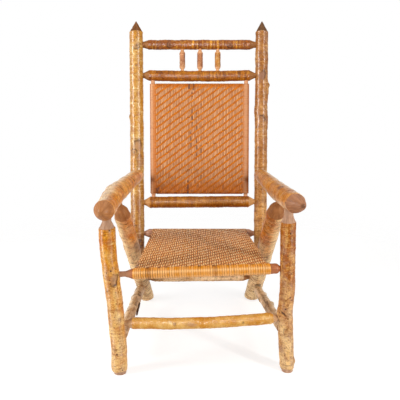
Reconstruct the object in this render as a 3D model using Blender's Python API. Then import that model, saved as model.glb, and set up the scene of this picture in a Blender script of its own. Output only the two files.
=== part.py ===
# Rustic armchair of birch poles with the bark left on, round tenons and a woven cane seat and back.
# Metres, +Z up. The sitter faces -Y, and left and right are as seen from the front.

import math
from collections import namedtuple

import bmesh
import bpy
from mathutils import Vector

# Fits
FIT_GAP = 0.0003  # clearance between touching pieces
MORTISE_RELIEF = 0.0015  # space left past the end of a tenon
NECK_MARGIN = 0.003  # bare neck left outside a mortise
CUTTER_REACH = 0.012  # how far a cutter runs past the surface it opens

# Facets round each kind of piece
POLE_SIDES = 14
RAIL_SIDES = 12
STICK_SIDES = 10
NAIL_SIDES = 6
WRAP_LAYERS = 8  # steps round the rolled edge of a woven wrap
SMOOTH_ANGLE = 35  # degrees, edges sharper than this stay sharp

# Feet and whittled ends
FOOT_ROUND = 0.013  # how far a foot is rounded in
FOOT_ROUND_HEIGHT = 0.024
FINIAL_LENGTH = 0.041
FINIAL_TIP_RADIUS = 0.0015
BARK_STEP = 0.0008  # whittled wood lies this much below the bark
ARM_CAP_TIP_RADIUS = 0.002
ARM_CAP_SHOULDER_RUN = 0.55  # share of the cone ahead of the bark
ARM_CAP_SHOULDER_WIDTH = 0.52  # share of the arm's radius
FOOT_TURNS = (0, 30, 60, 90)  # degrees round a foot's rim
DOME_TURNS = (35, 60)  # degrees up a leg's dome
BULLET_TURNS = (30, 60)  # degrees round a rounded stick end

# Front posts
POST_WHITTLE = 0.022  # cone below the neck
POST_NECK = 0.020  # bare neck under the arm
POST_NECK_RADIUS = 0.0152
POST_TENON_DEPTH = 0.034

# Rear legs
LEG_DOME = 0.048  # whittled dome below the neck
LEG_NECK = 0.036
LEG_NECK_RADIUS = 0.0115
LEG_TENON_DEPTH = 0.032

# Back posts
BACK_POST_TOP = 1.170  # height of the finial tips
RECLINE = 13.0  # degrees
POST_FOOT_TENON_RADIUS = 0.011
POST_FOOT_TENON_DEPTH = 0.046
POST_FOOT_NAIL_SHARE = 0.7  # how far down the foot tenon its nail goes

# Arms
ARM_RADIUS = 0.0322
ARM_REAR_RADIUS = 0.0245
ARM_TENON_RADIUS = 0.0095
ARM_TENON_DEPTH = 0.030
ARM_EAR = 0.011  # the coped ears stop this far in front of the back post's axis

# Back rails and spindles
CREST_HEIGHT = 1.0812
CREST_RADIUS = 0.0185
CREST_NECK_RADIUS = 0.0122
UPPER_RAIL_HEIGHT = 0.9645
UPPER_RAIL_RADIUS = 0.0206
UPPER_RAIL_SAG = 0.003
LOWER_RAIL_RADIUS = 0.0222
RAIL_NECK_RADIUS = 0.0105
RAIL_WHITTLE = 0.019
RAIL_TENON_DEPTH = 0.028
SPINDLE_PITCH = 0.0692
SPINDLE_RADIUS = 0.0112
SPINDLE_NECK_RADIUS = 0.0062
SPINDLE_WHITTLE = 0.012
SPINDLE_TENON_DEPTH = 0.013

# Back panel
PANEL_TOP_HEIGHT = 0.9222
PANEL_BOTTOM_HEIGHT = 0.5235
PANEL_STILE_RADIUS = 0.0110
PANEL_NECK_RADIUS = 0.0056
PANEL_SHOULDER = 0.005  # rounded shoulder of a stile
PANEL_TENON_DEPTH = 0.015
PANEL_RUNG_RADIUS = 0.0108
PANEL_RUNG_NECK_RADIUS = 0.0055
PANEL_RUNG_WHITTLE = 0.010
PANEL_RUNG_TENON_DEPTH = 0.010
PANEL_CANE = 0.0016  # thickness of the woven layer

# Seat
SEAT_REAR_HEIGHT = 0.361
SEAT_RUNG_RADIUS = 0.0175
SEAT_RUNG_NECK_RADIUS = 0.0095
SEAT_RUNG_TENON_DEPTH = 0.026
SEAT_REAR_WHITTLE = 0.017
SEAT_SIDE_NECK_RADIUS = 0.0070
SEAT_SIDE_WHITTLE = 0.014
SEAT_SIDE_TENON_DEPTH = 0.011
SEAT_CANE = 0.0014

# Stretchers
FRONT_STRETCHER_RADIUS = 0.0190
FRONT_STRETCHER_SAG = 0.0085
SIDE_STRETCHER_RADIUS = 0.0185
REAR_STRETCHER_HEIGHT = 0.1395
REAR_STRETCHER_RADIUS = 0.0160
STRETCHER_NECK_RADIUS = 0.0092
STRETCHER_WHITTLE = 0.022
STRETCHER_TENON_DEPTH = 0.026

# Nails
NAIL_RADIUS = 0.0014
NAIL_HEAD_RADIUS = 0.0034
NAIL_HEAD_THICKNESS = 0.0012
NAIL_POINT = 0.003
NAIL_TIP_RADIUS = 0.0005
NAIL_PAST = 0.006  # how far a nail runs past the middle of the tenon it pins

# Half the width of the frame. What stands out is measured from here, away from the middle of the chair.
HALF_WIDTH = 0.250

# The two sides differ, as poles picked by hand do.
LEFT = {
    "name": "left",
    "sign": -1,
    "front_foot_out": 0.0215,
    "front_foot_y": -0.2825,
    "front_post_bends": ((0.117, 0.0228), (0.261, 0.0307), (0.400, 0.0431), (0.470, 0.0472)),  # height, out
    "front_head_out": 0.0455,
    "front_post_radius": 0.0266,
    "rear_foot_out": -0.0180,
    "rear_foot_y": 0.3465,
    "rear_leg_radius": 0.0298,
    "leg_head_out": 0.0355,
    "leg_head_y": -0.1330,
    "post_foot_height": 0.272,
    "post_foot_inset": 0.012,  # how far the back post stands inside the axis of its leg
    "back_post_radius": 0.0262,
    "back_post_top_out": 0.0003,
    "arm_overhang": 0.066,  # bark end ahead of the front post
    "arm_cap": 0.036,  # length of the front cone
    "arm_cap_out": 0.0035,  # how far the cone's tip lies out from the arm's axis
    "arm_front_height": 0.585,
    "arm_leg_height": 0.5855,
    "arm_rear_height": 0.584,
    "arm_inset_at_post": 0.0035,
    "arm_inset_at_leg": -0.004,
    "arm_leg_radius": 0.0345,
    "lower_rail_height": 0.4795,
    "stile_foot_out": -0.0675,
    "stile_head_out": -0.0654,
    "seat_front_height": 0.3527,
    "seat_front_out": -0.0315,
    "seat_rear_out": -0.0620,
    "rung_neck": 0.020,
    "rung_whittle": 0.024,
    "front_stretcher_height": 0.179,
    "side_stretcher_heights": (0.110, 0.105),  # front, rear
}
RIGHT = {
    "name": "right",
    "sign": 1,
    "front_foot_out": 0.0472,
    "front_foot_y": -0.2695,
    "front_post_bends": ((0.081, 0.0414), (0.140, 0.0377), (0.225, 0.0335), (0.290, 0.0382), (0.464, 0.0340)),
    "front_head_out": 0.0325,
    "front_post_radius": 0.0248,
    "rear_foot_out": -0.0220,
    "rear_foot_y": 0.3575,
    "rear_leg_radius": 0.0328,
    "leg_head_out": 0.0283,
    "leg_head_y": -0.1300,
    "post_foot_height": 0.2825,
    "post_foot_inset": 0.0155,
    "back_post_radius": 0.0246,
    "back_post_top_out": -0.0076,
    "arm_overhang": 0.069,
    "arm_cap": 0.045,
    "arm_cap_out": 0.0125,
    "arm_front_height": 0.6015,
    "arm_leg_height": 0.593,
    "arm_rear_height": 0.585,
    "arm_inset_at_post": -0.002,
    "arm_inset_at_leg": 0.010,
    "arm_leg_radius": 0.0318,
    "lower_rail_height": 0.4835,
    "stile_foot_out": -0.0710,
    "stile_head_out": -0.0693,
    "seat_front_height": 0.3698,
    "seat_front_out": -0.0200,
    "seat_rear_out": -0.0660,
    "rung_neck": 0.001,
    "rung_whittle": 0.012,
    "front_stretcher_height": 0.1945,
    "side_stretcher_heights": (0.137, 0.083),
}
SIDES = (LEFT, RIGHT)

# Finishes: colour, roughness, metallic
BARK = ((0.60, 0.30, 0.075), 0.32, 0.0)
CANE = ((0.50, 0.20, 0.055), 0.45, 0.0)
BARE_WOOD = ((0.27, 0.105, 0.045), 0.5, 0.0)
IRON = ((0.09, 0.075, 0.065), 0.55, 0.9)

UP = Vector((0, 0, 1))
BACK = Vector((0, 1, 0))
ACROSS = Vector((1, 0, 0))

# A ring of a lofted pole. A level ring lies flat, as a sawn foot does.
Station = namedtuple("Station", "point radius level", defaults=(False,))
# A pole in place: its object, axis points, and the radius at each of them.
Pole = namedtuple("Pole", "piece spine radii")
# Where a stick enters its host: the host's axis point, and distances along the stick from there.
End = namedtuple("End", "seat reach depth neck neck_run whittle rounded", defaults=(False,))


def clear_scene():
    for found in list(bpy.data.objects):
        bpy.data.objects.remove(found)


def finish_material(name, finish):
    colour, roughness, metallic = finish
    material = bpy.data.materials.new(name)
    material.use_nodes = True
    shader = material.node_tree.nodes["Principled BSDF"]
    shader.inputs["Base Color"].default_value = (*colour, 1.0)
    shader.inputs["Roughness"].default_value = roughness
    shader.inputs["Metallic"].default_value = metallic
    return material


def ring_points(station, axis, guide, sides):
    side = axis.cross(guide).normalized()
    rise = side.cross(axis)
    points = []
    for step in range(sides):
        turn = 2 * math.pi * step / sides
        point = station.point + station.radius * (math.cos(turn) * side + math.sin(turn) * rise)
        if station.level:
            point += axis * ((station.point.z - point.z) / axis.z)
        points.append(point)
    return points


def axis_at(stations, index):
    here = stations[index].point
    before = [s.point for s in stations[:index] if (s.point - here).length > FIT_GAP]
    after = [s.point for s in stations[index + 1:] if (s.point - here).length > FIT_GAP]
    start = before[-1] if before else here
    end = after[0] if after else here
    return (end - start).normalized()


def loft_mesh(name, stations, guide, sides):
    shape = bmesh.new()
    loops = []
    for index, station in enumerate(stations):
        points = ring_points(station, axis_at(stations, index), guide, sides)
        loops.append([shape.verts.new(point) for point in points])
    for low, high in zip(loops, loops[1:]):
        for step in range(sides):
            after = (step + 1) % sides
            shape.faces.new((low[step], low[after], high[after], high[step]))
    shape.faces.new(loops[0])
    shape.faces.new(loops[-1])
    return mesh_from(name, shape)


def mesh_from(name, shape):
    bmesh.ops.recalc_face_normals(shape, faces=shape.faces)
    mesh = bpy.data.meshes.new(name)
    shape.to_mesh(mesh)
    shape.free()
    return mesh


def place_piece(name, mesh, finish):
    mesh.shade_smooth()
    mesh.set_sharp_from_angle(angle=math.radians(SMOOTH_ANGLE))
    piece = bpy.data.objects.new(name, mesh)
    piece.data.materials.append(finish_material(name, finish))
    bpy.context.scene.collection.objects.link(piece)
    return piece


def place_helper(name, mesh):
    helper = bpy.data.objects.new(name, mesh)
    helper.hide_render = True
    helper.display_type = "WIRE"
    bpy.context.scene.collection.objects.link(helper)
    return helper


def combine(piece, helper, operation):
    boolean = piece.modifiers.new(helper.name, "BOOLEAN")
    boolean.operation = operation
    boolean.object = helper
    boolean.solver = "EXACT"


def cut(piece, helper):
    combine(piece, helper, "DIFFERENCE")


def join(piece, helper):
    combine(piece, helper, "UNION")


def grown(stations, gap):
    return [Station(s.point, s.radius + gap, s.level) for s in stations]


def across_at(side, out):
    return side["sign"] * (HALF_WIDTH + out)


def place_out(side, out, y, z):
    return Vector((across_at(side, out), y, z))


def point_on(spine, axis, value):
    """The point of an axis line where one coordinate has the given value, and the run of the line there."""
    for start, end in zip(spine, spine[1:]):
        share = (value - start[axis]) / (end[axis] - start[axis])
        if share <= 1:
            break
    return start.lerp(end, share), (end - start).normalized()


def radius_on(pole, axis, value):
    for low in range(len(pole.spine) - 1):
        start, end = pole.spine[low], pole.spine[low + 1]
        share = (value - start[axis]) / (end[axis] - start[axis])
        if share <= 1:
            break
    share = max(share, 0)
    return pole.radii[low] + share * (pole.radii[low + 1] - pole.radii[low])


def end_on(host, axis, value, toward, depth, neck, whittle, neck_run=0.0, rounded=False):
    """The end of a stick that runs from the host's axis toward a point."""
    seat, run = point_on(host.spine, axis, value)
    direction = (toward - seat).normalized()
    slant = direction.dot(run)
    square = direction.cross(run).length
    reach = radius_on(host, axis, value) / square
    bare = max(neck_run, neck * abs(slant) / square + NECK_MARGIN)
    return End(seat, reach, depth, neck, bare, whittle, rounded)


def end_stations(end, direction, radius):
    """Rings of one end of a stick, from the tenon's tip out to the full radius."""
    tip = end.reach - end.depth
    bare = end.reach + end.neck_run
    full = bare + end.whittle
    found = [Station(end.seat + direction * tip, end.neck), Station(end.seat + direction * bare, end.neck)]
    if end.rounded:
        for turn in BULLET_TURNS:
            along = bare + end.whittle * (1 - math.cos(math.radians(turn)))
            width = end.neck + (radius - end.neck) * math.sin(math.radians(turn))
            found.append(Station(end.seat + direction * along, width))
    found.append(Station(end.seat + direction * full, radius))
    return found


def make_stick(name, start, end, radius, guide, sides, finish, bow=Vector((0, 0, 0)), steps=3):
    """A straight or bowed stick with a tenon at each end."""
    direction = (end.seat - start.seat).normalized()
    stations = end_stations(start, direction, radius)
    closing = end_stations(end, -direction, radius)[::-1]
    first, last = stations[-1].point, closing[0].point
    for step in range(1, steps + 1):
        share = step / (steps + 1)
        stations.append(Station(first.lerp(last, share) + bow * math.sin(math.pi * share), radius))
    stations += closing
    piece = place_piece(name, loft_mesh(name, stations, guide, sides), finish)
    spine = [s.point for s in stations]
    return Pole(piece, spine, [s.radius for s in stations])


def drill(host, stick_name, end, toward, guide, sides):
    """The mortise of a stick's end in its host."""
    direction = (toward - end.seat).normalized()
    mouth = end.seat + direction * (end.reach + end.neck_run + CUTTER_REACH)
    floor = end.seat + direction * (end.reach - end.depth - MORTISE_RELIEF)
    width = end.neck + FIT_GAP
    name = "mortise_" + stick_name + "_" + host.piece.name
    mesh = loft_mesh(name, [Station(floor, width), Station(mouth, width)], guide, sides)
    cut(host.piece, place_helper(name, mesh))


def tenon_middle(end, toward):
    direction = (toward - end.seat).normalized()
    return end.seat + direction * (end.reach - end.depth / 2)


def make_nail(name, host, owner, middle, into, host_centre, host_radius, host_run):
    """A nail driven into the host through the middle of a tenon, with its head set flush."""
    into = into.normalized()
    offset = middle - host_centre
    offset -= host_run * offset.dot(host_run)
    square = into - host_run * into.dot(host_run)
    along = offset.dot(square) / square.dot(square)
    nearest = offset - square * along
    reach = math.sqrt(host_radius ** 2 - nearest.length ** 2) / square.length + along
    head = middle - into * reach
    seat = head + into * NAIL_HEAD_THICKNESS
    tip = middle + into * NAIL_PAST
    stations = [
        Station(head, NAIL_HEAD_RADIUS),
        Station(seat, NAIL_HEAD_RADIUS),
        Station(seat, NAIL_RADIUS),
        Station(tip - into * NAIL_POINT, NAIL_RADIUS),
        Station(tip, NAIL_TIP_RADIUS),
    ]
    place_piece(name, loft_mesh(name, stations, UP, NAIL_SIDES), IRON)
    sunk = seat + into * FIT_GAP
    hole = [
        Station(head - into * CUTTER_REACH, NAIL_HEAD_RADIUS + FIT_GAP),
        Station(sunk, NAIL_HEAD_RADIUS + FIT_GAP),
        Station(sunk, NAIL_RADIUS + FIT_GAP),
        Station(tip + into * FIT_GAP, NAIL_RADIUS + FIT_GAP),
    ]
    helper = place_helper("hole_" + name, loft_mesh("hole_" + name, hole, UP, NAIL_SIDES))
    cut(host.piece, helper)
    cut(owner.piece, helper)


def foot_stations(foot, run, radius):
    """Level rings of a sawn foot with a rounded rim."""
    found = []
    for turn in FOOT_TURNS:
        lift = FOOT_ROUND_HEIGHT * (1 - math.cos(math.radians(turn)))
        width = radius - FOOT_ROUND * (1 - math.sin(math.radians(turn)))
        found.append(Station(foot + run * (lift / run.z), width, True))
    return found


def arm_line(side, back_post):
    """Axis points of an arm: over the front post, over the leg, and at the back post."""
    post = place_out(side, side["front_head_out"] - side["arm_inset_at_post"],
                     side["front_foot_y"], side["arm_front_height"])
    leg = place_out(side, side["leg_head_out"] - side["arm_inset_at_leg"],
                    side["leg_head_y"], side["arm_leg_height"])
    rear, _ = point_on(back_post, 2, side["arm_rear_height"])
    run = (post - leg).normalized()
    front = post + run * (side["arm_overhang"] / abs(run.y))
    return [front, post, leg, rear]


def leg_line(side):
    foot = place_out(side, side["rear_foot_out"], side["rear_foot_y"], 0)
    head = place_out(side, side["leg_head_out"], side["leg_head_y"], side["arm_leg_height"])
    return [foot, head]


def back_post_line(side):
    """From the leg's axis up to the finial's tip."""
    on_leg, _ = point_on(leg_line(side), 2, side["post_foot_height"])
    foot = on_leg - ACROSS * side["sign"] * side["post_foot_inset"]
    rise = BACK_POST_TOP - foot.z
    tip = place_out(side, side["back_post_top_out"], foot.y + rise * math.tan(math.radians(RECLINE)),
                    BACK_POST_TOP)
    return [foot, tip]


def front_post_line(side):
    foot = place_out(side, side["front_foot_out"], side["front_foot_y"], 0)
    bends = [place_out(side, out, side["front_foot_y"], z) for z, out in side["front_post_bends"]]
    head = place_out(side, side["front_head_out"], side["front_foot_y"], side["arm_front_height"])
    return [foot, *bends, head]


def make_back_post(side):
    foot, tip = back_post_line(side)
    run = (tip - foot).normalized()
    radius = side["back_post_radius"]
    shoulder = tip - run * FINIAL_LENGTH
    stations = [
        Station(foot, radius),
        Station(shoulder, radius),
        Station(shoulder, radius - BARK_STEP),
        Station(tip, FINIAL_TIP_RADIUS),
    ]
    name = "back_post_" + side["name"]
    piece = place_piece(name, loft_mesh(name, stations, BACK, POLE_SIDES), BARK)
    return Pole(piece, [foot, shoulder], [radius, radius]), stations


def make_rear_leg(side, arm):
    foot, head = leg_line(side)
    run = (head - foot).normalized()
    _, arm_run = point_on(arm, 1, head.y)
    under = side["arm_leg_radius"] / run.cross(arm_run).length
    radius = side["rear_leg_radius"]
    bare = head - run * (under + LEG_NECK + LEG_DOME)
    neck = head - run * (under + LEG_NECK)
    tip = head - run * (under - LEG_TENON_DEPTH)
    stations = foot_stations(foot, run, radius)
    stations += [Station(bare, radius), Station(bare, radius - BARK_STEP)]
    for turn in DOME_TURNS:
        share = math.sin(math.radians(turn))
        drop = math.cos(math.radians(turn))
        width = LEG_NECK_RADIUS + (radius - BARK_STEP - LEG_NECK_RADIUS) * drop
        stations.append(Station(bare.lerp(neck, share), width))
    stations += [Station(neck, LEG_NECK_RADIUS), Station(tip, LEG_NECK_RADIUS)]
    name = "rear_leg_" + side["name"]
    piece = place_piece(name, loft_mesh(name, stations, BACK, POLE_SIDES), BARK)
    end = End(head, under, LEG_TENON_DEPTH, LEG_NECK_RADIUS, LEG_NECK, LEG_DOME)
    return Pole(piece, [foot, head], [radius, radius]), end, stations


def make_front_post(side, arm):
    spine = front_post_line(side)
    foot, head = spine[0], spine[-1]
    run = (head - spine[-2]).normalized()
    _, arm_run = point_on(arm, 1, head.y)
    under = ARM_RADIUS / run.cross(arm_run).length
    radius = side["front_post_radius"]
    bare = head - run * (under + POST_NECK + POST_WHITTLE)
    neck = head - run * (under + POST_NECK)
    tip = head - run * (under - POST_TENON_DEPTH)
    stations = foot_stations(foot, (spine[1] - foot).normalized(), radius)
    stations += [Station(point, radius) for point in spine[1:-1]]
    stations += [Station(bare, radius), Station(bare, radius - BARK_STEP)]
    stations += [Station(neck, POST_NECK_RADIUS), Station(tip, POST_NECK_RADIUS)]
    name = "front_post_" + side["name"]
    piece = place_piece(name, loft_mesh(name, stations, BACK, POLE_SIDES), BARK)
    end = End(head, under, POST_TENON_DEPTH, POST_NECK_RADIUS, POST_NECK, POST_WHITTLE)
    return Pole(piece, spine, [radius] * len(spine)), end


def make_arm(side, spine):
    front, post, leg, rear = spine
    run = (front - post).normalized()
    ears = rear + (leg - rear).normalized() * ARM_EAR
    tip = front + run * side["arm_cap"] + ACROSS * side["sign"] * side["arm_cap_out"]
    shoulder = front.lerp(tip, ARM_CAP_SHOULDER_RUN)
    stations = [
        Station(tip, ARM_CAP_TIP_RADIUS),
        Station(shoulder, ARM_RADIUS * ARM_CAP_SHOULDER_WIDTH),
        Station(front, ARM_RADIUS - BARK_STEP),
        Station(front, ARM_RADIUS),
        Station(post, ARM_RADIUS),
        Station(leg, side["arm_leg_radius"]),
        Station(ears, ARM_REAR_RADIUS),
    ]
    name = "arm_" + side["name"]
    piece = place_piece(name, loft_mesh(name, stations, UP, POLE_SIDES), BARK)
    radii = [ARM_RADIUS, ARM_RADIUS, side["arm_leg_radius"], ARM_REAR_RADIUS]
    return Pole(piece, spine, radii)


def seat_arm_on_post(side, arm, back_post, post_stations):
    """Copes the arm's rear end to the back post and gives it a tenon."""
    name = "arm_" + side["name"]
    leg, rear = arm.spine[2], arm.spine[3]
    end = end_on(back_post, 2, rear.z, leg, ARM_TENON_DEPTH, ARM_TENON_RADIUS, 0)
    cope = loft_mesh("cope_" + name, grown(post_stations, FIT_GAP), BACK, POLE_SIDES)
    cut(arm.piece, place_helper("cope_" + name, cope))
    direction = (leg - rear).normalized()
    root = rear + direction * (end.reach + ARM_TENON_DEPTH)
    tip = rear + direction * (end.reach - ARM_TENON_DEPTH)
    stations = [Station(tip, ARM_TENON_RADIUS), Station(root, ARM_TENON_RADIUS)]
    join(arm.piece, place_helper("tenon_" + name, loft_mesh("tenon_" + name, stations, UP, RAIL_SIDES)))
    drill(back_post, name, end, leg, UP, RAIL_SIDES)
    nail_end("nail_" + name + "_rear", back_post, arm, 2, end, leg, ACROSS * -side["sign"])


def seat_post_on_leg(side, back_post, leg, leg_stations):
    """Copes the back post's lower end onto the raked leg and gives it a tenon."""
    name = "back_post_" + side["name"]
    foot, shoulder = back_post.spine
    run = (shoulder - foot).normalized()
    leg_run = (leg.spine[1] - leg.spine[0]).normalized()
    cope = loft_mesh("cope_" + name, grown(leg_stations, FIT_GAP), BACK, POLE_SIDES)
    cut(back_post.piece, place_helper("cope_" + name, cope))
    half = math.sqrt(side["rear_leg_radius"] ** 2 - side["post_foot_inset"] ** 2)
    reach = half / run.cross(leg_run).length
    end = End(foot, reach, POST_FOOT_TENON_DEPTH, POST_FOOT_TENON_RADIUS, 0, 0)
    root = foot + run * (reach + POST_FOOT_TENON_DEPTH)
    tip = foot + run * (reach - POST_FOOT_TENON_DEPTH)
    stations = [Station(tip, end.neck), Station(root, end.neck)]
    tenon = loft_mesh("tenon_" + name, stations, BACK, RAIL_SIDES)
    join(back_post.piece, place_helper("tenon_" + name, tenon))
    drill(leg, name, end, shoulder, BACK, RAIL_SIDES)
    middle = foot + run * (reach - POST_FOOT_TENON_DEPTH * POST_FOOT_NAIL_SHARE)
    on_leg, _ = point_on(leg.spine, 2, middle.z)
    make_nail("nail_" + name + "_foot", leg, back_post, middle, -BACK, on_leg, side["rear_leg_radius"], leg_run)


def nail_end(name, host, owner, axis, end, toward, into):
    """Pins one end of a stick in its host."""
    seat, run = point_on(host.spine, axis, end.seat[axis])
    make_nail(name, host, owner, tenon_middle(end, toward), into, seat,
              radius_on(host, axis, end.seat[axis]), run)


def make_rail(name, hosts, heights, depth, neck, whittle, radius, guide, sides, finish, bow=Vector((0, 0, 0)),
              rounded=(False, False), neck_runs=(0.0, 0.0)):
    """A stick between two standing poles, drilled into both."""
    points = [point_on(host.spine, 2, height)[0] for host, height in zip(hosts, heights)]
    ends = []
    for index, host in enumerate(hosts):
        ends.append(end_on(host, 2, heights[index], points[1 - index], depth, neck, whittle[index],
                           neck_runs[index], rounded[index]))
    stick = make_stick(name, ends[0], ends[1], radius, guide, sides, finish, bow)
    for index, host in enumerate(hosts):
        drill(host, name, ends[index], points[1 - index], guide, sides)
    return stick, ends, points


def make_cross_rail(name, hosts, heights, depth, neck, whittle, radius, bow=Vector((0, 0, 0))):
    """A rail across the chair whose tenons are nailed from behind."""
    stick, ends, points = make_rail(name, hosts, heights, depth, neck, (whittle, whittle), radius, UP,
                                    RAIL_SIDES, BARK, bow)
    for index, host in enumerate(hosts):
        label = "nail_" + name + "_" + SIDES[index]["name"]
        nail_end(label, host, stick, 2, ends[index], points[1 - index], -BACK)
    return stick


def make_uprights(name, rails, across, depth, neck, shoulder, radius, rounded):
    """A stick between two cross rails, with its place across the chair on each of them."""
    points = [point_on(rail.spine, 0, out)[0] for rail, out in zip(rails, across)]
    ends = []
    for index, rail in enumerate(rails):
        ends.append(end_on(rail, 0, across[index], points[1 - index], depth, neck, shoulder, 0.0, rounded))
    stick = make_stick(name, ends[0], ends[1], radius, BACK, STICK_SIDES, BARK, steps=1)
    for index, rail in enumerate(rails):
        drill(rail, name, ends[index], points[1 - index], BACK, STICK_SIDES)
    return stick


def offset_corners(corners, normal, distance):
    """The corners of a flat frame moved out so that its edges lie the given distance further out."""
    moved = []
    count = len(corners)
    for index, corner in enumerate(corners):
        before = (corner - corners[index - 1]).cross(normal).normalized()
        after = (corners[(index + 1) % count] - corner).cross(normal).normalized()
        moved.append(corner + (before + after) * (distance / (1 + before.dot(after))))
    return moved


def wrap_mesh(name, corners, normal, half):
    """A flat wrap with rolled edges round a four-sided frame whose axis corners are given."""
    shape = bmesh.new()
    loops = []
    for layer in range(WRAP_LAYERS + 1):
        turn = math.pi * (layer / WRAP_LAYERS - 0.5)
        outline = offset_corners(corners, normal, half * math.cos(turn))
        loops.append([shape.verts.new(point + normal * (half * math.sin(turn))) for point in outline])
    for low, high in zip(loops, loops[1:]):
        for step in range(len(corners)):
            after = (step + 1) % len(corners)
            shape.faces.new((low[step], low[after], high[after], high[step]))
    shape.faces.new(loops[0])
    shape.faces.new(loops[-1])
    return mesh_from(name, shape)


def make_weave(name, corners, normal, inner, cane, sticks, guide, sides):
    """The woven layer round a frame: hollow, and open where the frame's sticks leave it."""
    weave = place_piece(name, wrap_mesh(name, corners, normal, inner + FIT_GAP + cane), CANE)
    inside = wrap_mesh("inside_" + name, corners, normal, inner + 2 * FIT_GAP)
    cut(weave, place_helper("inside_" + name, inside))
    for index, (start, end) in enumerate(sticks):
        run = (end - start).normalized()
        reach = inner + cane + CUTTER_REACH
        stations = [Station(start - run * reach, inner + FIT_GAP), Station(end + run * reach, inner + FIT_GAP)]
        label = "passage_%d_%s" % (index, name)
        cut(weave, place_helper(label, loft_mesh(label, stations, guide, sides)))


def make_side_frames():
    """Posts, legs and arms of both sides."""
    frames = []
    for side in SIDES:
        back_line = back_post_line(side)
        arm_axis = arm_line(side, back_line)
        back_post, post_stations = make_back_post(side)
        leg, leg_end, leg_stations = make_rear_leg(side, arm_axis)
        front_post, post_end = make_front_post(side, arm_axis)
        arm = make_arm(side, arm_axis)
        seat_arm_on_post(side, arm, back_post, post_stations)
        seat_post_on_leg(side, back_post, leg, leg_stations)
        inward = ACROSS * -side["sign"]
        for pole, end, label in ((front_post, post_end, "front"), (leg, leg_end, "middle")):
            below = pole.spine[-2]
            drill(arm, pole.piece.name, end, below, BACK, POLE_SIDES)
            nail_end("nail_arm_" + side["name"] + "_" + label, arm, pole, 1, end, below, inward)
        frames.append({"back": back_post, "leg": leg, "front": front_post, "arm": arm})
    return frames


def make_back(frames):
    """Rails, spindles and the caned panel between the back posts."""
    posts = [frame["back"] for frame in frames]
    crest = make_cross_rail("crest_rail", posts, (CREST_HEIGHT, CREST_HEIGHT), RAIL_TENON_DEPTH,
                            CREST_NECK_RADIUS, RAIL_WHITTLE, CREST_RADIUS)
    upper = make_cross_rail("upper_back_rail", posts, (UPPER_RAIL_HEIGHT, UPPER_RAIL_HEIGHT), RAIL_TENON_DEPTH,
                            RAIL_NECK_RADIUS, RAIL_WHITTLE, UPPER_RAIL_RADIUS, bow=UP * -UPPER_RAIL_SAG)
    heights = [side["lower_rail_height"] for side in SIDES]
    lower = make_cross_rail("lower_back_rail", posts, heights, RAIL_TENON_DEPTH, RAIL_NECK_RADIUS,
                            RAIL_WHITTLE, LOWER_RAIL_RADIUS)
    for label, place in (("left", -1), ("centre", 0), ("right", 1)):
        across = place * SPINDLE_PITCH
        make_uprights("spindle_" + label, (upper, crest), (across, across), SPINDLE_TENON_DEPTH,
                      SPINDLE_NECK_RADIUS, SPINDLE_WHITTLE, SPINDLE_RADIUS, False)
    make_panel(lower, upper)


def make_panel(lower, upper):
    stiles = []
    for side in SIDES:
        across = (across_at(side, side["stile_foot_out"]), across_at(side, side["stile_head_out"]))
        stiles.append(make_uprights("panel_stile_" + side["name"], (lower, upper), across, PANEL_TENON_DEPTH,
                                    PANEL_NECK_RADIUS, PANEL_SHOULDER, PANEL_STILE_RADIUS, True))
    corners = []
    for label, height in (("bottom", PANEL_BOTTOM_HEIGHT), ("top", PANEL_TOP_HEIGHT)):
        _, _, points = make_rail("panel_%s_rung" % label, stiles, (height, height), PANEL_RUNG_TENON_DEPTH,
                                    PANEL_RUNG_NECK_RADIUS, (PANEL_RUNG_WHITTLE, PANEL_RUNG_WHITTLE),
                                    PANEL_RUNG_RADIUS, UP, STICK_SIDES, BARE_WOOD)
        corners += points if label == "bottom" else points[::-1]
    normal = (corners[1] - corners[0]).cross(corners[3] - corners[0]).normalized()
    sticks = ((corners[0], corners[3]), (corners[1], corners[2]))
    make_weave("back_weave", corners, normal, PANEL_STILE_RADIUS, PANEL_CANE, sticks, BACK, STICK_SIDES)


def make_seat(frames):
    """Four rungs and the cane woven round them."""
    fronts = [frame["front"] for frame in frames]
    backs = [frame["back"] for frame in frames]
    heights = [side["seat_front_height"] for side in SIDES]
    front, front_ends, front_points = make_rail(
        "seat_front_rung", fronts, heights, SEAT_RUNG_TENON_DEPTH, SEAT_RUNG_NECK_RADIUS,
        [side["rung_whittle"] for side in SIDES], SEAT_RUNG_RADIUS, UP, RAIL_SIDES, BARE_WOOD,
        rounded=(False, True), neck_runs=[side["rung_neck"] for side in SIDES])
    rear, rear_ends, rear_points = make_rail(
        "seat_rear_rung", backs, (SEAT_REAR_HEIGHT, SEAT_REAR_HEIGHT), SEAT_RUNG_TENON_DEPTH,
        SEAT_RUNG_NECK_RADIUS, (SEAT_REAR_WHITTLE, SEAT_REAR_WHITTLE), SEAT_RUNG_RADIUS, UP, RAIL_SIDES,
        BARE_WOOD)
    for index, side in enumerate(SIDES):
        other = 1 - index
        nail_end("nail_seat_front_" + side["name"], fronts[index], front, 2, front_ends[index],
                 front_points[other], -BACK)
        nail_end("nail_seat_rear_" + side["name"], backs[index], rear, 2, rear_ends[index],
                 rear_points[other], -BACK)
    wrap = SEAT_RUNG_RADIUS + FIT_GAP + SEAT_CANE
    corners = []
    for side in SIDES:
        across = (across_at(side, side["seat_front_out"] - wrap), across_at(side, side["seat_rear_out"] - wrap))
        points = [point_on(rung.spine, 0, out)[0] for rung, out in zip((front, rear), across)]
        make_side_rung(side, (front, rear), across, points)
        corners.append(points)
    outline = [corners[0][0], corners[1][0], corners[1][1], corners[0][1]]
    sticks = ((outline[0], outline[1]), (outline[3], outline[2]))
    make_weave("seat_weave", outline, UP, SEAT_RUNG_RADIUS, SEAT_CANE, sticks, UP, RAIL_SIDES)


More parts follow.
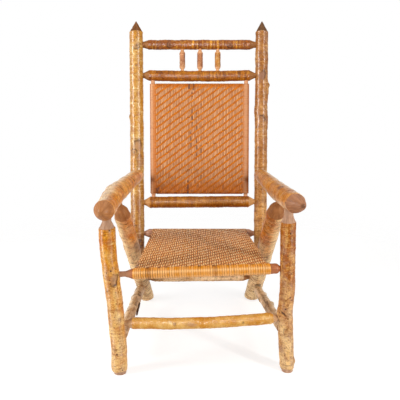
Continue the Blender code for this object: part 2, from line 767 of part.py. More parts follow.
def make_side_rung(side, rungs, across, points):
    name = "seat_side_rung_" + side["name"]
    ends = []
    for index, rung in enumerate(rungs):
        ends.append(end_on(rung, 0, across[index], points[1 - index], SEAT_SIDE_TENON_DEPTH,
                           SEAT_SIDE_NECK_RADIUS, SEAT_SIDE_WHITTLE))
    make_stick(name, ends[0], ends[1], SEAT_RUNG_RADIUS, UP, RAIL_SIDES, BARE_WOOD, steps=1)
    for index, rung in enumerate(rungs):
        drill(rung, name, ends[index], points[1 - index], UP, RAIL_SIDES)


def make_stretchers(frames):
    """Front, side and rear stretchers low between the legs."""
    fronts = [frame["front"] for frame in frames]
    legs = [frame["leg"] for frame in frames]
    heights = [side["front_stretcher_height"] for side in SIDES]
    make_cross_rail("front_stretcher", fronts, heights, STRETCHER_TENON_DEPTH, STRETCHER_NECK_RADIUS,
                    STRETCHER_WHITTLE, FRONT_STRETCHER_RADIUS, bow=UP * -FRONT_STRETCHER_SAG)
    make_cross_rail("rear_stretcher", legs, (REAR_STRETCHER_HEIGHT, REAR_STRETCHER_HEIGHT),
                    STRETCHER_TENON_DEPTH, STRETCHER_NECK_RADIUS, STRETCHER_WHITTLE, REAR_STRETCHER_RADIUS)
    for side, front, leg in zip(SIDES, fronts, legs):
        make_side_stretcher(side, front, leg)


def make_side_stretcher(side, front, leg):
    name = "side_stretcher_" + side["name"]
    hosts = (front, leg)
    heights = side["side_stretcher_heights"]
    points = [point_on(host.spine, 2, height)[0] for host, height in zip(hosts, heights)]
    ends = []
    for index, host in enumerate(hosts):
        ends.append(end_on(host, 2, heights[index], points[1 - index], STRETCHER_TENON_DEPTH,
                           STRETCHER_NECK_RADIUS, STRETCHER_WHITTLE))
    stick = make_stick(name, ends[0], ends[1], SIDE_STRETCHER_RADIUS, UP, RAIL_SIDES, BARK)
    for index, host in enumerate(hosts):
        label = ("front", "rear")[index]
        drill(host, name, ends[index], points[1 - index], UP, RAIL_SIDES)
        nail_end("nail_" + name + "_" + label, host, stick, 2, ends[index], points[1 - index],
                 ACROSS * -side["sign"])


def stand_on_origin():
    """Moves everything so that the middle of the footprint is at the origin."""
    bpy.context.view_layer.update()
    low = Vector((math.inf,) * 3)
    high = -low
    for piece in bpy.context.scene.objects:
        if piece.hide_render:
            continue
        for corner in piece.bound_box:
            low = Vector(map(min, low, corner))
            high = Vector(map(max, high, corner))
    root = bpy.data.objects.new("chair", None)
    for piece in list(bpy.context.scene.objects):
        piece.parent = root
    bpy.context.scene.collection.objects.link(root)
    root.location = (-(low.x + high.x) / 2, -(low.y + high.y) / 2, -low.z)


def build_chair():
    clear_scene()
    frames = make_side_frames()
    make_back(frames)
    make_seat(frames)
    make_stretchers(frames)
    stand_on_origin()


build_chair()
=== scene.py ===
import math
import random

import bpy
import numpy as np
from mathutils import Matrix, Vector
from mathutils.geometry import intersect_line_line


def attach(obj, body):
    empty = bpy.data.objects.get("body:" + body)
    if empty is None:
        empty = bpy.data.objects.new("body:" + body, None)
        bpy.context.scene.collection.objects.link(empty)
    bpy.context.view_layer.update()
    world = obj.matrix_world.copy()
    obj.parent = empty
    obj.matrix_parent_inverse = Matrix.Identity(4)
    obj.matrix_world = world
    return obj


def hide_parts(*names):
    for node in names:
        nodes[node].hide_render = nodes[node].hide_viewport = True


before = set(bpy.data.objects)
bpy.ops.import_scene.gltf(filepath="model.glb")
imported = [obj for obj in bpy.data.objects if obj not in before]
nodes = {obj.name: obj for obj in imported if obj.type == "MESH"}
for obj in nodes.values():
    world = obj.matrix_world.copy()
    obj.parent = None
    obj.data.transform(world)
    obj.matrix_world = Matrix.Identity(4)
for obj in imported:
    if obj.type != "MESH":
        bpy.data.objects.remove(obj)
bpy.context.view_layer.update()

scene = bpy.context.scene
bpy.ops.object.select_all(action="DESELECT")
print("frame loaded:", len(nodes), "solids")


# shader nodes; id_data is the tree that a node or socket is in

def plug(node, inputs):
    for title, value in inputs.items():
        if isinstance(value, bpy.types.NodeSocket):
            node.id_data.links.new(value, node.inputs[title])
        else:
            node.inputs[title].default_value = value


def addNode(tree, kind, inputs=None, **settings):
    node = tree.nodes.new("ShaderNode" + kind)
    for title, value in settings.items():
        setattr(node, title, value)
    plug(node, inputs or {})
    return node


def reading(tree, name, output="Fac"):
    return addNode(tree, "Attribute", attribute_name=name).outputs[output]


def grain(source, stretch, detail=3.0, rough=0.55):
    place = addNode(source.id_data, "Mapping", {"Scale": stretch, "Vector": source})
    noise = {"Scale": 1, "Detail": detail, "Roughness": rough, "Vector": place.outputs["Vector"]}
    return addNode(source.id_data, "TexNoise", noise).outputs["Fac"]


def ramp(source, low, high, bottom=0.0, top=1.0):
    ends = {"From Min": low, "From Max": high, "To Min": bottom, "To Max": top, "Value": source}
    return addNode(source.id_data, "MapRange", ends, interpolation_type="SMOOTHSTEP").outputs["Result"]


def over(factor, below, above):
    return addNode(factor.id_data, "Mix", {0: factor, 6: below, 7: above}, data_type="RGBA").outputs[2]


def maths(first, second, operation="MULTIPLY"):
    return addNode(first.id_data, "Math", {0: first, 1: second}, operation=operation).outputs[0]


def emboss(shader, height, strength, distance):
    bump = addNode(shader.id_data, "Bump", {"Strength": strength, "Distance": distance, "Height": height})
    plug(shader, {"Normal": bump.outputs["Normal"]})


# camera, lamps, floor

shot = {"place": (0.00056, -2.11934, 1.06), "tilt": 76, "lens": 54, "sensor": 36}
bpy.ops.object.camera_add(location=shot["place"], rotation=(math.radians(shot["tilt"]), 0, 0))
camera = bpy.context.object
camera.name = "photoCamera"
camera.data.sensor_width = shot["sensor"]
camera.data.lens = shot["lens"]
scene.camera = camera
scene.view_settings.view_transform = "Standard"

lampAim = Vector((0, 0, 0.55))   # the middle of the chair
lamps = {
    "softLeft": {"turn": -67, "away": 2.6, "height": 1.25, "wide": 0.6, "tall": 2.2, "power": 57},
    "softRight": {"turn": 46, "away": 2.6, "height": 1.25, "wide": 0.22, "tall": 2.2, "power": 48},
    "overhead": {"turn": 0, "away": 0.4, "height": 3.0, "wide": 2.2, "tall": 1.8, "power": 17},
}
for lampName, lamp in lamps.items():
    turn = math.radians(lamp["turn"])
    spot = Vector((math.sin(turn) * lamp["away"], -math.cos(turn) * lamp["away"], lamp["height"]))
    bpy.ops.object.light_add(type="AREA", location=spot)
    light = bpy.context.object
    light.name = lampName
    light.rotation_euler = (lampAim - spot).to_track_quat("-Z", "Y").to_euler()
    light.data.shape = "RECTANGLE"
    light.data.size = lamp["wide"]
    light.data.size_y = lamp["tall"]
    light.data.energy = lamp["power"]


def whiteRays(tree):
    # 1 for the rays that should meet the white background
    rays = addNode(tree, "LightPath").outputs
    result = rays["Is Camera Ray"]
    for ray in ("Is Glossy Ray", "Is Transmission Ray"):
        result = maths(result, rays[ray], "MAXIMUM")
    return result


def bySight(tree, unseen, seen):
    level = addNode(tree, "MapRange", {"To Min": unseen, "To Max": seen, "Value": whiteRays(tree)})
    return level.outputs["Result"]


studio = {"fill": 0.33, "fillTone": (1, 0.985, 0.96, 1), "white": (1, 1, 1, 1), "floorTone": 0.88,
          "floorSeen": 0.42, "floorGlow": 0.73, "floorRadius": 2.4, "floorDrop": 0.0006, "fade": (1.0, 2.1)}
world = bpy.data.worlds.new("whiteStudio")
scene.world = world
world.use_nodes = True
tree = world.node_tree
fillLight = tree.nodes["Background"]
plug(fillLight, {"Color": studio["fillTone"], "Strength": studio["fill"]})
whiteSky = addNode(tree, "Background", {"Color": studio["white"]})
sky = addNode(tree, "MixShader", {0: whiteRays(tree), 1: fillLight.outputs[0], 2: whiteSky.outputs[0]})
plug(tree.nodes["World Output"], {"Surface": sky.outputs[0]})

bpy.ops.mesh.primitive_circle_add(vertices=96, radius=studio["floorRadius"], fill_type="NGON",
                                  location=(0, 0, -studio["floorDrop"]))
bpy.ops.object.transform_apply(location=True)
floor = bpy.context.object
floor.name = "studioFloor"
floorFinish = bpy.data.materials.new("floorWhite")
floorFinish.use_nodes = True
tree = floorFinish.node_tree
tree.nodes.remove(tree.nodes["Principled BSDF"])
chalk = addNode(tree, "BsdfDiffuse", {"Color": bySight(tree, studio["floorTone"], studio["floorSeen"])})
glow = addNode(tree, "Emission", {"Strength": bySight(tree, 0, studio["floorGlow"])})
both = addNode(tree, "AddShader", {0: chalk.outputs[0], 1: glow.outputs[0]})
clear = addNode(tree, "BsdfTransparent")
where = addNode(tree, "TexCoord").outputs["Object"]
away = addNode(tree, "VectorMath", {0: where}, operation="LENGTH").outputs["Value"]
rim = addNode(tree, "MixShader", {0: ramp(away, *studio["fade"]), 1: both.outputs[0], 2: clear.outputs[0]})
plug(tree.nodes["Material Output"], {"Surface": rim.outputs[0]})
floor.data.materials.append(floorFinish)
print("camera, lamps and floor set")


# finishes

def paint(red, green, blue):
    # a colour as picked on screen, to the shader's own scale
    levels = [level / 255 for level in (red, green, blue)]
    return tuple(v / 12.92 if v <= 0.04045 else ((v + 0.055) / 1.055) ** 2.4 for v in levels) + (1.0,)


def painted(**tones):
    # every triple is a colour as picked on screen
    triples = [title for title, tone in tones.items() if isinstance(tone, tuple) and len(tone) == 3]
    return dict(tones, **{title: paint(*tones[title]) for title in triples})


def newFinish(name):
    finish = bpy.data.materials.new(name)
    finish.use_nodes = True
    return finish, finish.node_tree, finish.node_tree.nodes["Principled BSDF"]


def barkFinish(name, tones):
    finish, tree, shader = newFinish(name)
    log = reading(tree, "log", "Vector")
    bare, knots, scar, fade = (reading(tree, title) for title in ("bare", "knot", "scar", "fade"))
    patches = grain(log, (20, 20, 15), 3)
    streaks = grain(log, (90, 90, 9), 3, 0.6)
    bands = grain(log, (12, 12, 80), 4, 0.62)
    lines = grain(log, (36, 36, 210), 3, 0.6)
    blotch = grain(log, (52, 52, 56), 4, 0.6)
    flecks = grain(log, (150, 150, 260), 3, 0.6)
    smoke = grain(log, (38, 38, 30), 4, 0.66)
    curls = grain(log, (14, 14, 150), 3, 0.6)
    browns = grain(log, (95, 95, 110), 3, 0.6)
    dots = addNode(tree, "TexVoronoi", {"Scale": 62, "Vector": log}).outputs["Distance"]
    colour = over(ramp(patches, 0.38, 0.62), tones["gold"], tones["deep"])
    # fade mixes in the second colour: a real change along the stick, and painted light and painted shade on
    # chosen sides
    colour = over(fade, colour, tones["low"])
    layers = (
        (blotch, 0.52, 0.34, tones["mottle"], "deep"), (blotch, 0.53, 0.70, tones["mottle"], "pale"),
        (streaks, 0.50, 0.66, tones["streaks"], "ring"), (streaks, 0.46, 0.32, tones["streaks"], "pale"),
        (bands, 0.50, 0.66, tones["ringAmount"], "ring"),
        (lines, 0.52, 0.66, tones["ringAmount"] * 0.8, "ring"),
        (smoke, 0.50, 0.68, tones["smokeAmount"], "smoke"), (curls, 0.60, 0.66, tones["paleAmount"], "pale"),
        (browns, 0.42, 0.34, tones["spots"] * 0.8, "ring"),
        (flecks, 0.53, 0.65, tones["fleck"], "ring"), (flecks, 0.46, 0.34, tones["fleck"] * 0.8, "pale"))
    for noise, low, high, amount, tone in layers:
        colour = over(ramp(noise, low, high, 0, amount), colour, tones[tone])
    spots = maths(ramp(dots, 0.24, 0.12, 0, tones["spots"]), ramp(smoke, 0.46, 0.54))
    colour = over(spots, colour, tones["knot"])
    fibres = grain(log, (200, 200, 22), 3, 0.6)
    stains = grain(log, (55, 55, 40), 3, 0.6)
    wood = over(ramp(fibres, 0.35, 0.68, 0, 0.6), tones["bare"], tones["bareDark"])
    wood = over(ramp(stains, 0.45, 0.72, 0, 0.7), wood, tones["bareDark"])
    colour = over(bare, colour, wood)
    colour = over(scar, colour, tones["smoke"])
    colour = over(knots, colour, tones["knot"])
    dull = ramp(smoke, 0.4, 0.7, tones["rough"] - 0.06, tones["rough"] + 0.14)
    facing = addNode(tree, "LayerWeight").outputs["Facing"]   # worn thin where it is seen at a slant
    most, least = min(1, tones["varnish"] * 1.3), tones["varnish"] * tones["sheen"]
    gloss = maths(ramp(facing, 0.35, 0.95, most, least), reading(tree, "gloss"))
    height = maths(maths(bands, 0.6), maths(lines, 0.4), "ADD")
    height = maths(height, maths(blotch, 0.7), "ADD")
    emboss(shader, height, 0.4, 0.0014)
    # fine hoops in the varnish draw the lamps out along the stick
    hoops = ramp(grain(log, (6, 6, 500), 2), 0.40, 0.60, *tones["lean"])
    surface = addNode(tree, "NewGeometry").outputs["Normal"]
    tilt = {0: reading(tree, "axis", "Vector"), 1: hoops, 2: surface}
    plug(shader, {
        "Base Color": colour, "Roughness": over(bare, dull, (0.6, 0.6, 0.6, 1)), "Specular IOR Level": 0.06,
        "Coat Weight": maths(gloss, ramp(bare, 0, 1, 1, tones["capGloss"])),
        "Coat Roughness": tones["polish"], "Coat IOR": tones["index"],
        "Coat Normal": addNode(tree, "VectorMath", tilt, operation="MULTIPLY_ADD").outputs["Vector"]})
    return finish


def bareFinish(name, tones):
    finish, tree, shader = newFinish(name)
    log = reading(tree, "log", "Vector")
    fibres = grain(log, (260, 260, 20), 3, 0.6)
    stains = grain(log, (50, 50, 35), 3, 0.6)
    colour = over(ramp(fibres, 0.35, 0.68), tones["bare"], tones["bareDark"])
    colour = over(ramp(stains, 0.5, 0.72, 0, 0.5), colour, tones["bareDark"])
    colour = over(reading(tree, "fade"), colour, tones["worn"])
    colour = over(reading(tree, "knot"), colour, tones["knot"])
    plug(shader, {"Base Color": colour, "Roughness": ramp(stains, 0.3, 0.7, 0.42, 0.6),
                  "Specular IOR Level": 0.25, "Coat Weight": 0.12, "Coat Roughness": 0.3})
    emboss(shader, fibres, 0.3, 0.0008)
    return finish


def caneFinish(name, tones):
    finish, tree, shader = newFinish(name)
    lie = reading(tree, "lie", "Vector")
    titles = ("strand", "shade", "golden", "rim", "worn")
    strand, shade, golden, rim, worn = (reading(tree, title) for title in titles)
    streaks = grain(lie, (900, 1, 16), 3, 0.6)
    blots = grain(lie, (120, 1, 30), 3, 0.6)
    colour = over(strand, tones["light"], tones["mid"])
    colour = over(golden, colour, tones["golden"])
    colour = over(ramp(blots, 0.42, 0.7, 0, 0.7), colour, tones["deep"])
    colour = over(ramp(streaks, 0.5, 0.75, 0, 0.5), colour, tones["deep"])
    # worn mixes in a second tone: the deeper orange at the back's ends, and painted highlights and painted
    # floor light on the wraps, stiles and seat edges
    colour = over(worn, colour, tones["worn"])
    # rim: painted shade along each strand's edges, where the strands meet
    colour = over(ramp(rim, 0.4, 1, 0, tones["rimAmount"]), colour, tones["rim"])
    # shade: dark strands, and painted shade in the gaps at the back's corners and at the seat's front edge
    colour = over(shade, colour, tones["dark"])
    shader.inputs["Specular IOR Level"].default_value = 0.15   # for viewers that skip the link below
    plug(shader, {"Base Color": colour, "Roughness": ramp(blots, 0.3, 0.7, 0.36, 0.52),
                  "Specular IOR Level": ramp(golden, 0, 1, 0.25, 0.06),
                  "Coat Weight": ramp(golden, 0, 1, 0.1, 0.14), "Coat Roughness": 0.2})
    emboss(shader, streaks, 0.25, 0.0004)
    return finish


# sticks: measured on the solids, then rolled from a flat grid

probe = {"step": 0.003, "inset": 0.0003, "rays": 32, "hollow": 0.0004, "fewest": 12}


def readStick(node):
    mesh = nodes[node].data
    spots = np.empty(len(mesh.vertices) * 3)
    mesh.vertices.foreach_get("co", spots)
    spots = spots.reshape(-1, 3)
    pairs = np.empty(len(mesh.edges) * 2, dtype=np.int32)
    mesh.edges.foreach_get("vertices", pairs)
    first, second = spots[pairs[0::2]], spots[pairs[1::2]]
    run = np.linalg.svd(spots - spots.mean(0), full_matrices=False)[2][0]
    main = int(np.argmax(np.abs(run)))
    run = run * np.sign(run[main])
    face = np.array((0.0, -1.0, 0.0)) if abs(run[1]) < 0.8 else np.array((0.0, 0.0, 1.0))
    side = np.cross(run, face)
    side /= np.linalg.norm(side)
    rise = np.cross(side, run)
    reach = spots @ run
    low, high = reach.min(), reach.max()
    along = np.arange(low + probe["inset"], high - probe["step"] / 2, probe["step"])
    along = np.append(along, high - probe["inset"])
    heart = spots.mean(0)
    compass = np.linspace(0, 2 * math.pi, probe["rays"], endpoint=False)
    fan = np.cos(compass)[:, None] * rise + np.sin(compass)[:, None] * side
    terms = np.stack((np.cos(compass), np.sin(compass), np.ones(probe["rays"])), 1)
    ahead, behind = first @ run, second @ run
    line, girth = [], []
    for place in along:
        cut = (ahead - place) * (behind - place) < 0
        share = ((place - ahead[cut]) / (behind[cut] - ahead[cut]))[:, None]
        base = heart + run * (place - heart @ run)
        limit = ((first[cut] + share * (second[cut] - first[cut]) - base) @ fan.T).max(0)
        fit = np.linalg.lstsq(terms, limit, rcond=None)[0]
        full = limit - terms @ fit > -probe["hollow"]   # leaves out the mouths of mortises
        if full.sum() > probe["fewest"]:
            fit = np.linalg.lstsq(terms[full], limit[full], rcond=None)[0]
        line.append(base + fit[0] * rise + fit[1] * side)
        girth.append(fit[2])
    return {"run": run, "rise": rise, "side": side, "main": main, "low": low, "high": high,
            "along": along, "line": np.array(line), "girth": np.array(girth)}


def soften(values, spread):
    reachOut = int(spread * 3)
    weights = np.exp(-0.5 * (np.arange(-reachOut, reachOut + 1) / spread) ** 2)
    weights /= weights.sum()
    before = 2 * values[0] - values[reachOut:0:-1]
    after = 2 * values[-1] - values[-2:-reachOut - 2:-1]
    padded = np.concatenate((before, values, after))
    return np.stack([np.convolve(padded[:, k], weights, "valid") for k in range(values.shape[1])], 1)


def carryOn(along, line, at):
    # straight on past both ends, at the slope of the last stretch
    stretch = 0.06
    result = np.stack([np.interp(at, along, line[:, k]) for k in range(3)], 1)
    for edge, inner, beyond in ((along[0], along[0] + stretch, at < along[0]),
                                (along[-1], along[-1] - stretch, at > along[-1])):
        here, there = (np.array([np.interp(t, along, line[:, k]) for k in range(3)]) for t in (edge, inner))
        result[beyond] = here + (at[beyond] - edge)[:, None] * (here - there) / (edge - inner)
    return result


def unit(values):
    return np.clip(values, 0, 1)


def bell(values, middle, width):
    return np.exp(-((values - middle) / width) ** 2)


def waves(rng, turn, along, count, lengths, rounds):
    # seamless round the stick
    total = np.zeros(np.broadcast(turn, along).shape)
    for number in range(count):
        total += np.sin(rng.choice(rounds) * rng.choice((-1, 1)) * turn
                        + 2 * math.pi * along / rng.uniform(*lengths) + rng.uniform(0, 2 * math.pi))
    return total / math.sqrt(count)


plainStick = {"trimStart": 0, "trimEnd": 0, "beginAt": 0.0003, "endAt": 0.0003, "barkPast": 0, "step": 0.003,
              "around": 40, "facets": 9, "whittle": 0.6, "lumps": 0.0005, "bumps": 0.0003, "hoops": 0.00012,
              "skin": 0.0004, "chips": 0.0003, "knots": (), "paintedLightAndShade": (), "glossAt": ()}
barkEdge = {"width": 0.0012, "rings": (-0.0012, -0.0004, 0.0004, 0.0012)}   # where the bark stops
footRings = (0.0006, 0.0015, 0.0045, 0.0075)
growth = {"barkShare": 0.955, "thinnest": 0.0006, "levelHeight": 0.13, "seedShift": 1.37, "crease": 50}
dullest = 0.25   # the gloss away from the shining sides


def knot(spot, turn, size, lift, **more):
    # a knot, scar or slash: its place along and round the stick, its width, how far it stands out
    usual = {"long": 1, "slant": 0, "dark": 0, "heart": 1, "rim": 1, "scar": 0, "lit": 0}
    return dict(usual, spot=spot, turn=turn, size=size, lift=lift, **more)


def turnGap(turn, degrees):
    return (turn - math.radians(degrees) + math.pi) % (2 * math.pi) - math.pi


def ringPlaces(look, begin, end, bark):
    rings = list(np.arange(begin, end - 0.001, look["step"])) + [end]
    for title, edge in zip(("bareStart", "bareEnd"), bark):
        if look.get(title):
            rings += [edge + d for d in barkEdge["rings"]]
    if "foot" in look:
        rings += [begin + d for d in footRings]
    rings = np.array(sorted(t for t in rings if begin <= t <= end))
    return rings[np.append(True, np.diff(rings) > 0.0002)]


def bodyRadius(look, rings, body, usual, begin, end, bark):
    if "neck" in look:   # a short neck under a rounded shoulder
        reachIn = np.minimum(rings - begin, end - rings)
        length, share = look["neck"]
        body = usual * (share + (1 - share) * np.sqrt(unit((reachIn - length) / 0.0045)))
    if "dome" in look:   # a rounder cap at the start
        body = np.where(rings < bark[0], usual * np.minimum(1, body / usual) ** look["dome"], body)
    return body


def bareWood(look, rng, t, turn, height, bark):
    bare = np.zeros(np.broadcast(t, turn).shape)
    if look.get("bareStart"):
        bare = np.maximum(bare, unit((bark[0] - t) / barkEdge["width"] + 0.5))
    if look.get("bareEnd"):
        bare = np.maximum(bare, unit((t - bark[1]) / barkEdge["width"] + 0.5))
    if look.get("peeled"):
        bare[:] = 1
    if "bareFoot" in look:
        ragged = waves(rng, turn, t, 4, (0.03, 0.09), (1, 2, 3)) * 0.004
        bare = np.maximum(bare, unit((look["bareFoot"] + ragged - height[:, None]) / 0.003))
    return bare


def roughen(look, rng, t, turn, bare, radius):
    lumps = waves(rng, turn, t, 9, (0.05, 0.19), (1, 2, 3)) * look["lumps"]
    lumps = lumps + waves(rng, turn, t, 12, (0.014, 0.045), (2, 3, 4, 5)) * look["bumps"]
    hoops = waves(rng, turn, t, 12, (0.008, 0.024), (0, 0, 1, 2)) * look["hoops"]
    wedge = 2 * math.pi / look["facets"]
    flat = math.cos(wedge / 2) / np.cos((turn + rng.uniform(0, 6)) % wedge - wedge / 2)
    radius += (1 - bare) * (lumps + hoops + look["skin"])
    radius *= 1 - bare * (1 - flat) * look["whittle"]
    radius += bare * waves(rng, turn, t, 6, (0.012, 0.05), (1, 2, 3)) * look["chips"]


def pressMarks(look, rng, t, turn, usual, places, radius):
    # lifts the knots and returns where the bark is dark, scarred and lit; places runs along the main axis
    dark, scar, lit = (np.zeros_like(radius) for each in range(3))
    for mark in look["knots"]:
        at = np.interp(mark["spot"], places, t[:, 0])
        sideways = usual * turnGap(turn, mark["turn"])
        slant = math.radians(mark["slant"])
        off = (t - at) * math.cos(slant) + sideways * math.sin(slant)
        aside = sideways * math.cos(slant) - (t - at) * math.sin(slant)
        bearing = np.arctan2(off, aside)
        far = np.sqrt((off / (mark["size"] * mark["long"])) ** 2 + (aside / mark["size"]) ** 2)
        uneven = 1
        for count, amount in ((2, 0.16), (3, 0.10), (7, 0.07)):
            uneven = uneven + amount * np.sin(count * bearing + rng.uniform(0, 6))
        radius += mark["lift"] * np.exp(-far ** 2)
        far = far * uneven
        anySide = rng.uniform(0, 6)
        broken = np.clip(0.55 + 0.7 * np.sin(bearing + mark.get("crown", anySide)), 0.1, 1)
        rim = mark["rim"] * broken * bell(far, 1.1, 0.28)
        dark = np.maximum(dark, mark["dark"] * np.maximum(mark["heart"] * np.exp(-5 * far ** 2), rim))
        scar = np.maximum(scar, mark["scar"] * unit((1.15 - far) / 0.3))
        lit = np.maximum(lit, mark["lit"] * unit((1.15 - far) / 0.4))
    return dark, scar, lit


def fadeAndPaintedLight(look, rng, t, turn, bare, places):
    # how far the bark goes to its second colour: a real fade along the stick, and painted light and painted
    # shade on chosen sides
    fade = np.zeros_like(places)
    if "fade" in look:
        low, high = look["fade"]
        wander = waves(rng, turn, t, 5, (0.06, 0.2), (1, 2)) * 0.25
        fade = unit((high - places) / (high - low) + wander)
    # a side band lays the second colour on one side: painted light where that colour is paler, painted shade
    # where it is darker
    for side, spread, amount in look["paintedLightAndShade"]:
        ragged = waves(rng, turn, t, 5, (0.03, 0.1), (1, 2)) * 0.12
        near = amount * bell(turnGap(turn, side), 0, math.radians(spread))
        fade = np.maximum(fade, unit(near + ragged) * (1 - bare))
    return fade


def shine(look, rng, t, turn, scar, places):
    gloss = np.full_like(places, dullest if look["glossAt"] else 1)
    for side, spread in look["glossAt"]:
        near = bell(turnGap(turn, side), 0, math.radians(spread))
        gloss = np.maximum(gloss, near * np.ones_like(t))
    if "glossAbove" in look:
        low, high = look["glossAbove"]
        gloss = np.maximum(dullest, gloss * unit((places - low) / (high - low)))
    if "glossBreak" in look:   # the shine comes and goes along the stick
        patchy = waves(rng, turn, t, 8, (0.010, 0.045), (0, 0, 1))
        gloss = gloss * np.clip(1 - look["glossBreak"] * (0.5 + 0.5 * patchy), 0.1, 1)
    return gloss * (1 - 0.7 * scar)


def rollSheet(name, points, straight, run, readings):
    # a flat grid, rolled up on the points and closed
    rows, columns = points.shape[0] - 1, points.shape[1] - 1
    bpy.ops.object.select_all(action="DESELECT")
    bpy.ops.mesh.primitive_grid_add(x_subdivisions=columns, y_subdivisions=rows, size=2)
    piece = bpy.context.object
    piece.name = piece.data.name = name
    mesh = piece.data
    sheet = np.empty(len(mesh.vertices) * 3)
    mesh.vertices.foreach_get("co", sheet)
    sheet = sheet.reshape(-1, 3)
    column = np.rint((sheet[:, 0] + 1) / 2 * columns).astype(int)
    row = np.rint((sheet[:, 1] + 1) / 2 * rows).astype(int)
    mesh.vertices.foreach_set("co", points[row, column].ravel())
    for title, vectors in (("log", straight[row, column].ravel()), ("axis", np.tile(run, len(row)))):
        mesh.attributes.new(title, "FLOAT_VECTOR", "POINT").data.foreach_set("vector", vectors)
    for title, values in readings.items():
        mesh.attributes.new(title, "FLOAT", "POINT").data.foreach_set("value", values[row, column])
    mesh.update()
    bpy.ops.object.mode_set(mode="EDIT")
    bpy.ops.mesh.select_all(action="SELECT")
    bpy.ops.mesh.remove_doubles(threshold=0.00001)
    bpy.ops.mesh.fill_holes(sides=0)
    bpy.ops.mesh.normals_make_consistent(inside=False)
    bpy.ops.object.mode_set(mode="OBJECT")
    bpy.ops.object.shade_smooth_by_angle(angle=math.radians(growth["crease"]))
    return piece


def growStick(name, look, finish):
    look = dict(plainStick, **look)
    stick = readStick(look["node"])
    rng = random.Random(look["seed"])
    run, main = stick["run"], stick["main"]
    along, line, girth = stick["along"], stick["line"], stick["girth"]
    keep = (along >= stick["low"] + look["trimStart"]) & (along <= stick["high"] - look["trimEnd"])
    along, line, girth = along[keep], soften(line[keep], 2), girth[keep]
    begin, end = stick["low"] + look["beginAt"], stick["high"] - look["endAt"]
    if "foot" in look:   # the stick stands on the floor
        slope = (line[20, 2] - line[0, 2]) / (along[20] - along[0])
        begin = along[0] - line[0, 2] / slope
    usual = np.median(girth[len(girth) // 4: 3 * len(girth) // 4])
    thick = along[girth > growth["barkShare"] * usual]
    bark = thick.min(), thick.max() + look["barkPast"]
    rings = ringPlaces(look, begin, end, bark)
    middle = carryOn(along, line, rings)
    height = (rings - begin) * run[2]
    body = bodyRadius(look, rings, np.interp(rings, along, girth), usual, begin, end, bark)
    if look.get("foot"):   # its edge is worn round
        worn = unit(1 - height / look["foot"])
        body = body - look["foot"] * 0.55 * (1 - np.sqrt(1 - worn ** 2))
    turn = np.linspace(0, 2 * math.pi, look["around"] + 1)[None, :]
    t = rings[:, None]
    bare = bareWood(look, rng, t, turn, height, bark)
    radius = np.repeat(body[:, None], look["around"] + 1, 1)
    roughen(look, rng, t, turn, bare, radius)
    dark, scar, lit = pressMarks(look, rng, t, turn, usual, middle[:, main], radius)
    if "pith" in look:
        core = unit(1.6 - body[:, None] / look["pith"])
        dark = np.maximum(dark, look["pithDark"] * core * np.ones_like(radius))
    radius = np.maximum(radius, growth["thinnest"])
    out = np.cos(turn)[:, :, None] * stick["rise"] + np.sin(turn)[:, :, None] * stick["side"]
    points = middle[:, None, :] + radius[:, :, None] * out
    if "foot" in look:   # the lowest rings lie level
        level = unit(1 - height / growth["levelHeight"])[:, None] ** 1.5
        drop = (middle[:, None, 2] - points[:, :, 2]) / run[2] * level
        points = points + drop[:, :, None] * run
        points[0, :, 2] = 0.0
    fade = np.maximum(fadeAndPaintedLight(look, rng, t, turn, bare, points[:, :, main]), lit)
    gloss = shine(look, rng, t, turn, scar, points[:, :, main])
    straight = np.stack((usual * np.cos(turn) * np.ones_like(t), usual * np.sin(turn) * np.ones_like(t),
                         (t - begin + look["seed"] * growth["seedShift"]) * np.ones_like(turn)), 2)
    piece = rollSheet(name, points, straight, run,
                      {"bare": bare, "knot": dark, "scar": scar, "fade": fade, "gloss": gloss})
    piece.data.materials.append(finish)
    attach(piece, "root")
    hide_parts(look["node"])
    print("stick", name, len(piece.data.vertices), "vertices")


def growPair(name, bark, looks):
    for which in ("left", "right"):
        finish = barkFinish(bark + which.title(), looks[which + "Tones"])
        growStick(name + which.title(), dict(looks["both"], **looks[which]), finish)


usualTones = {"knot": (78, 46, 28), "mottle": 0.4, "streaks": 0.3, "fleck": 0.3, "spots": 0.7,
              "lean": (0.02, 0.42), "sheen": 0.25, "polish": 0.2, "index": 1.5, "capGloss": 0.25}


def barkTones(**own):
    return painted(**dict(usualTones, **own))


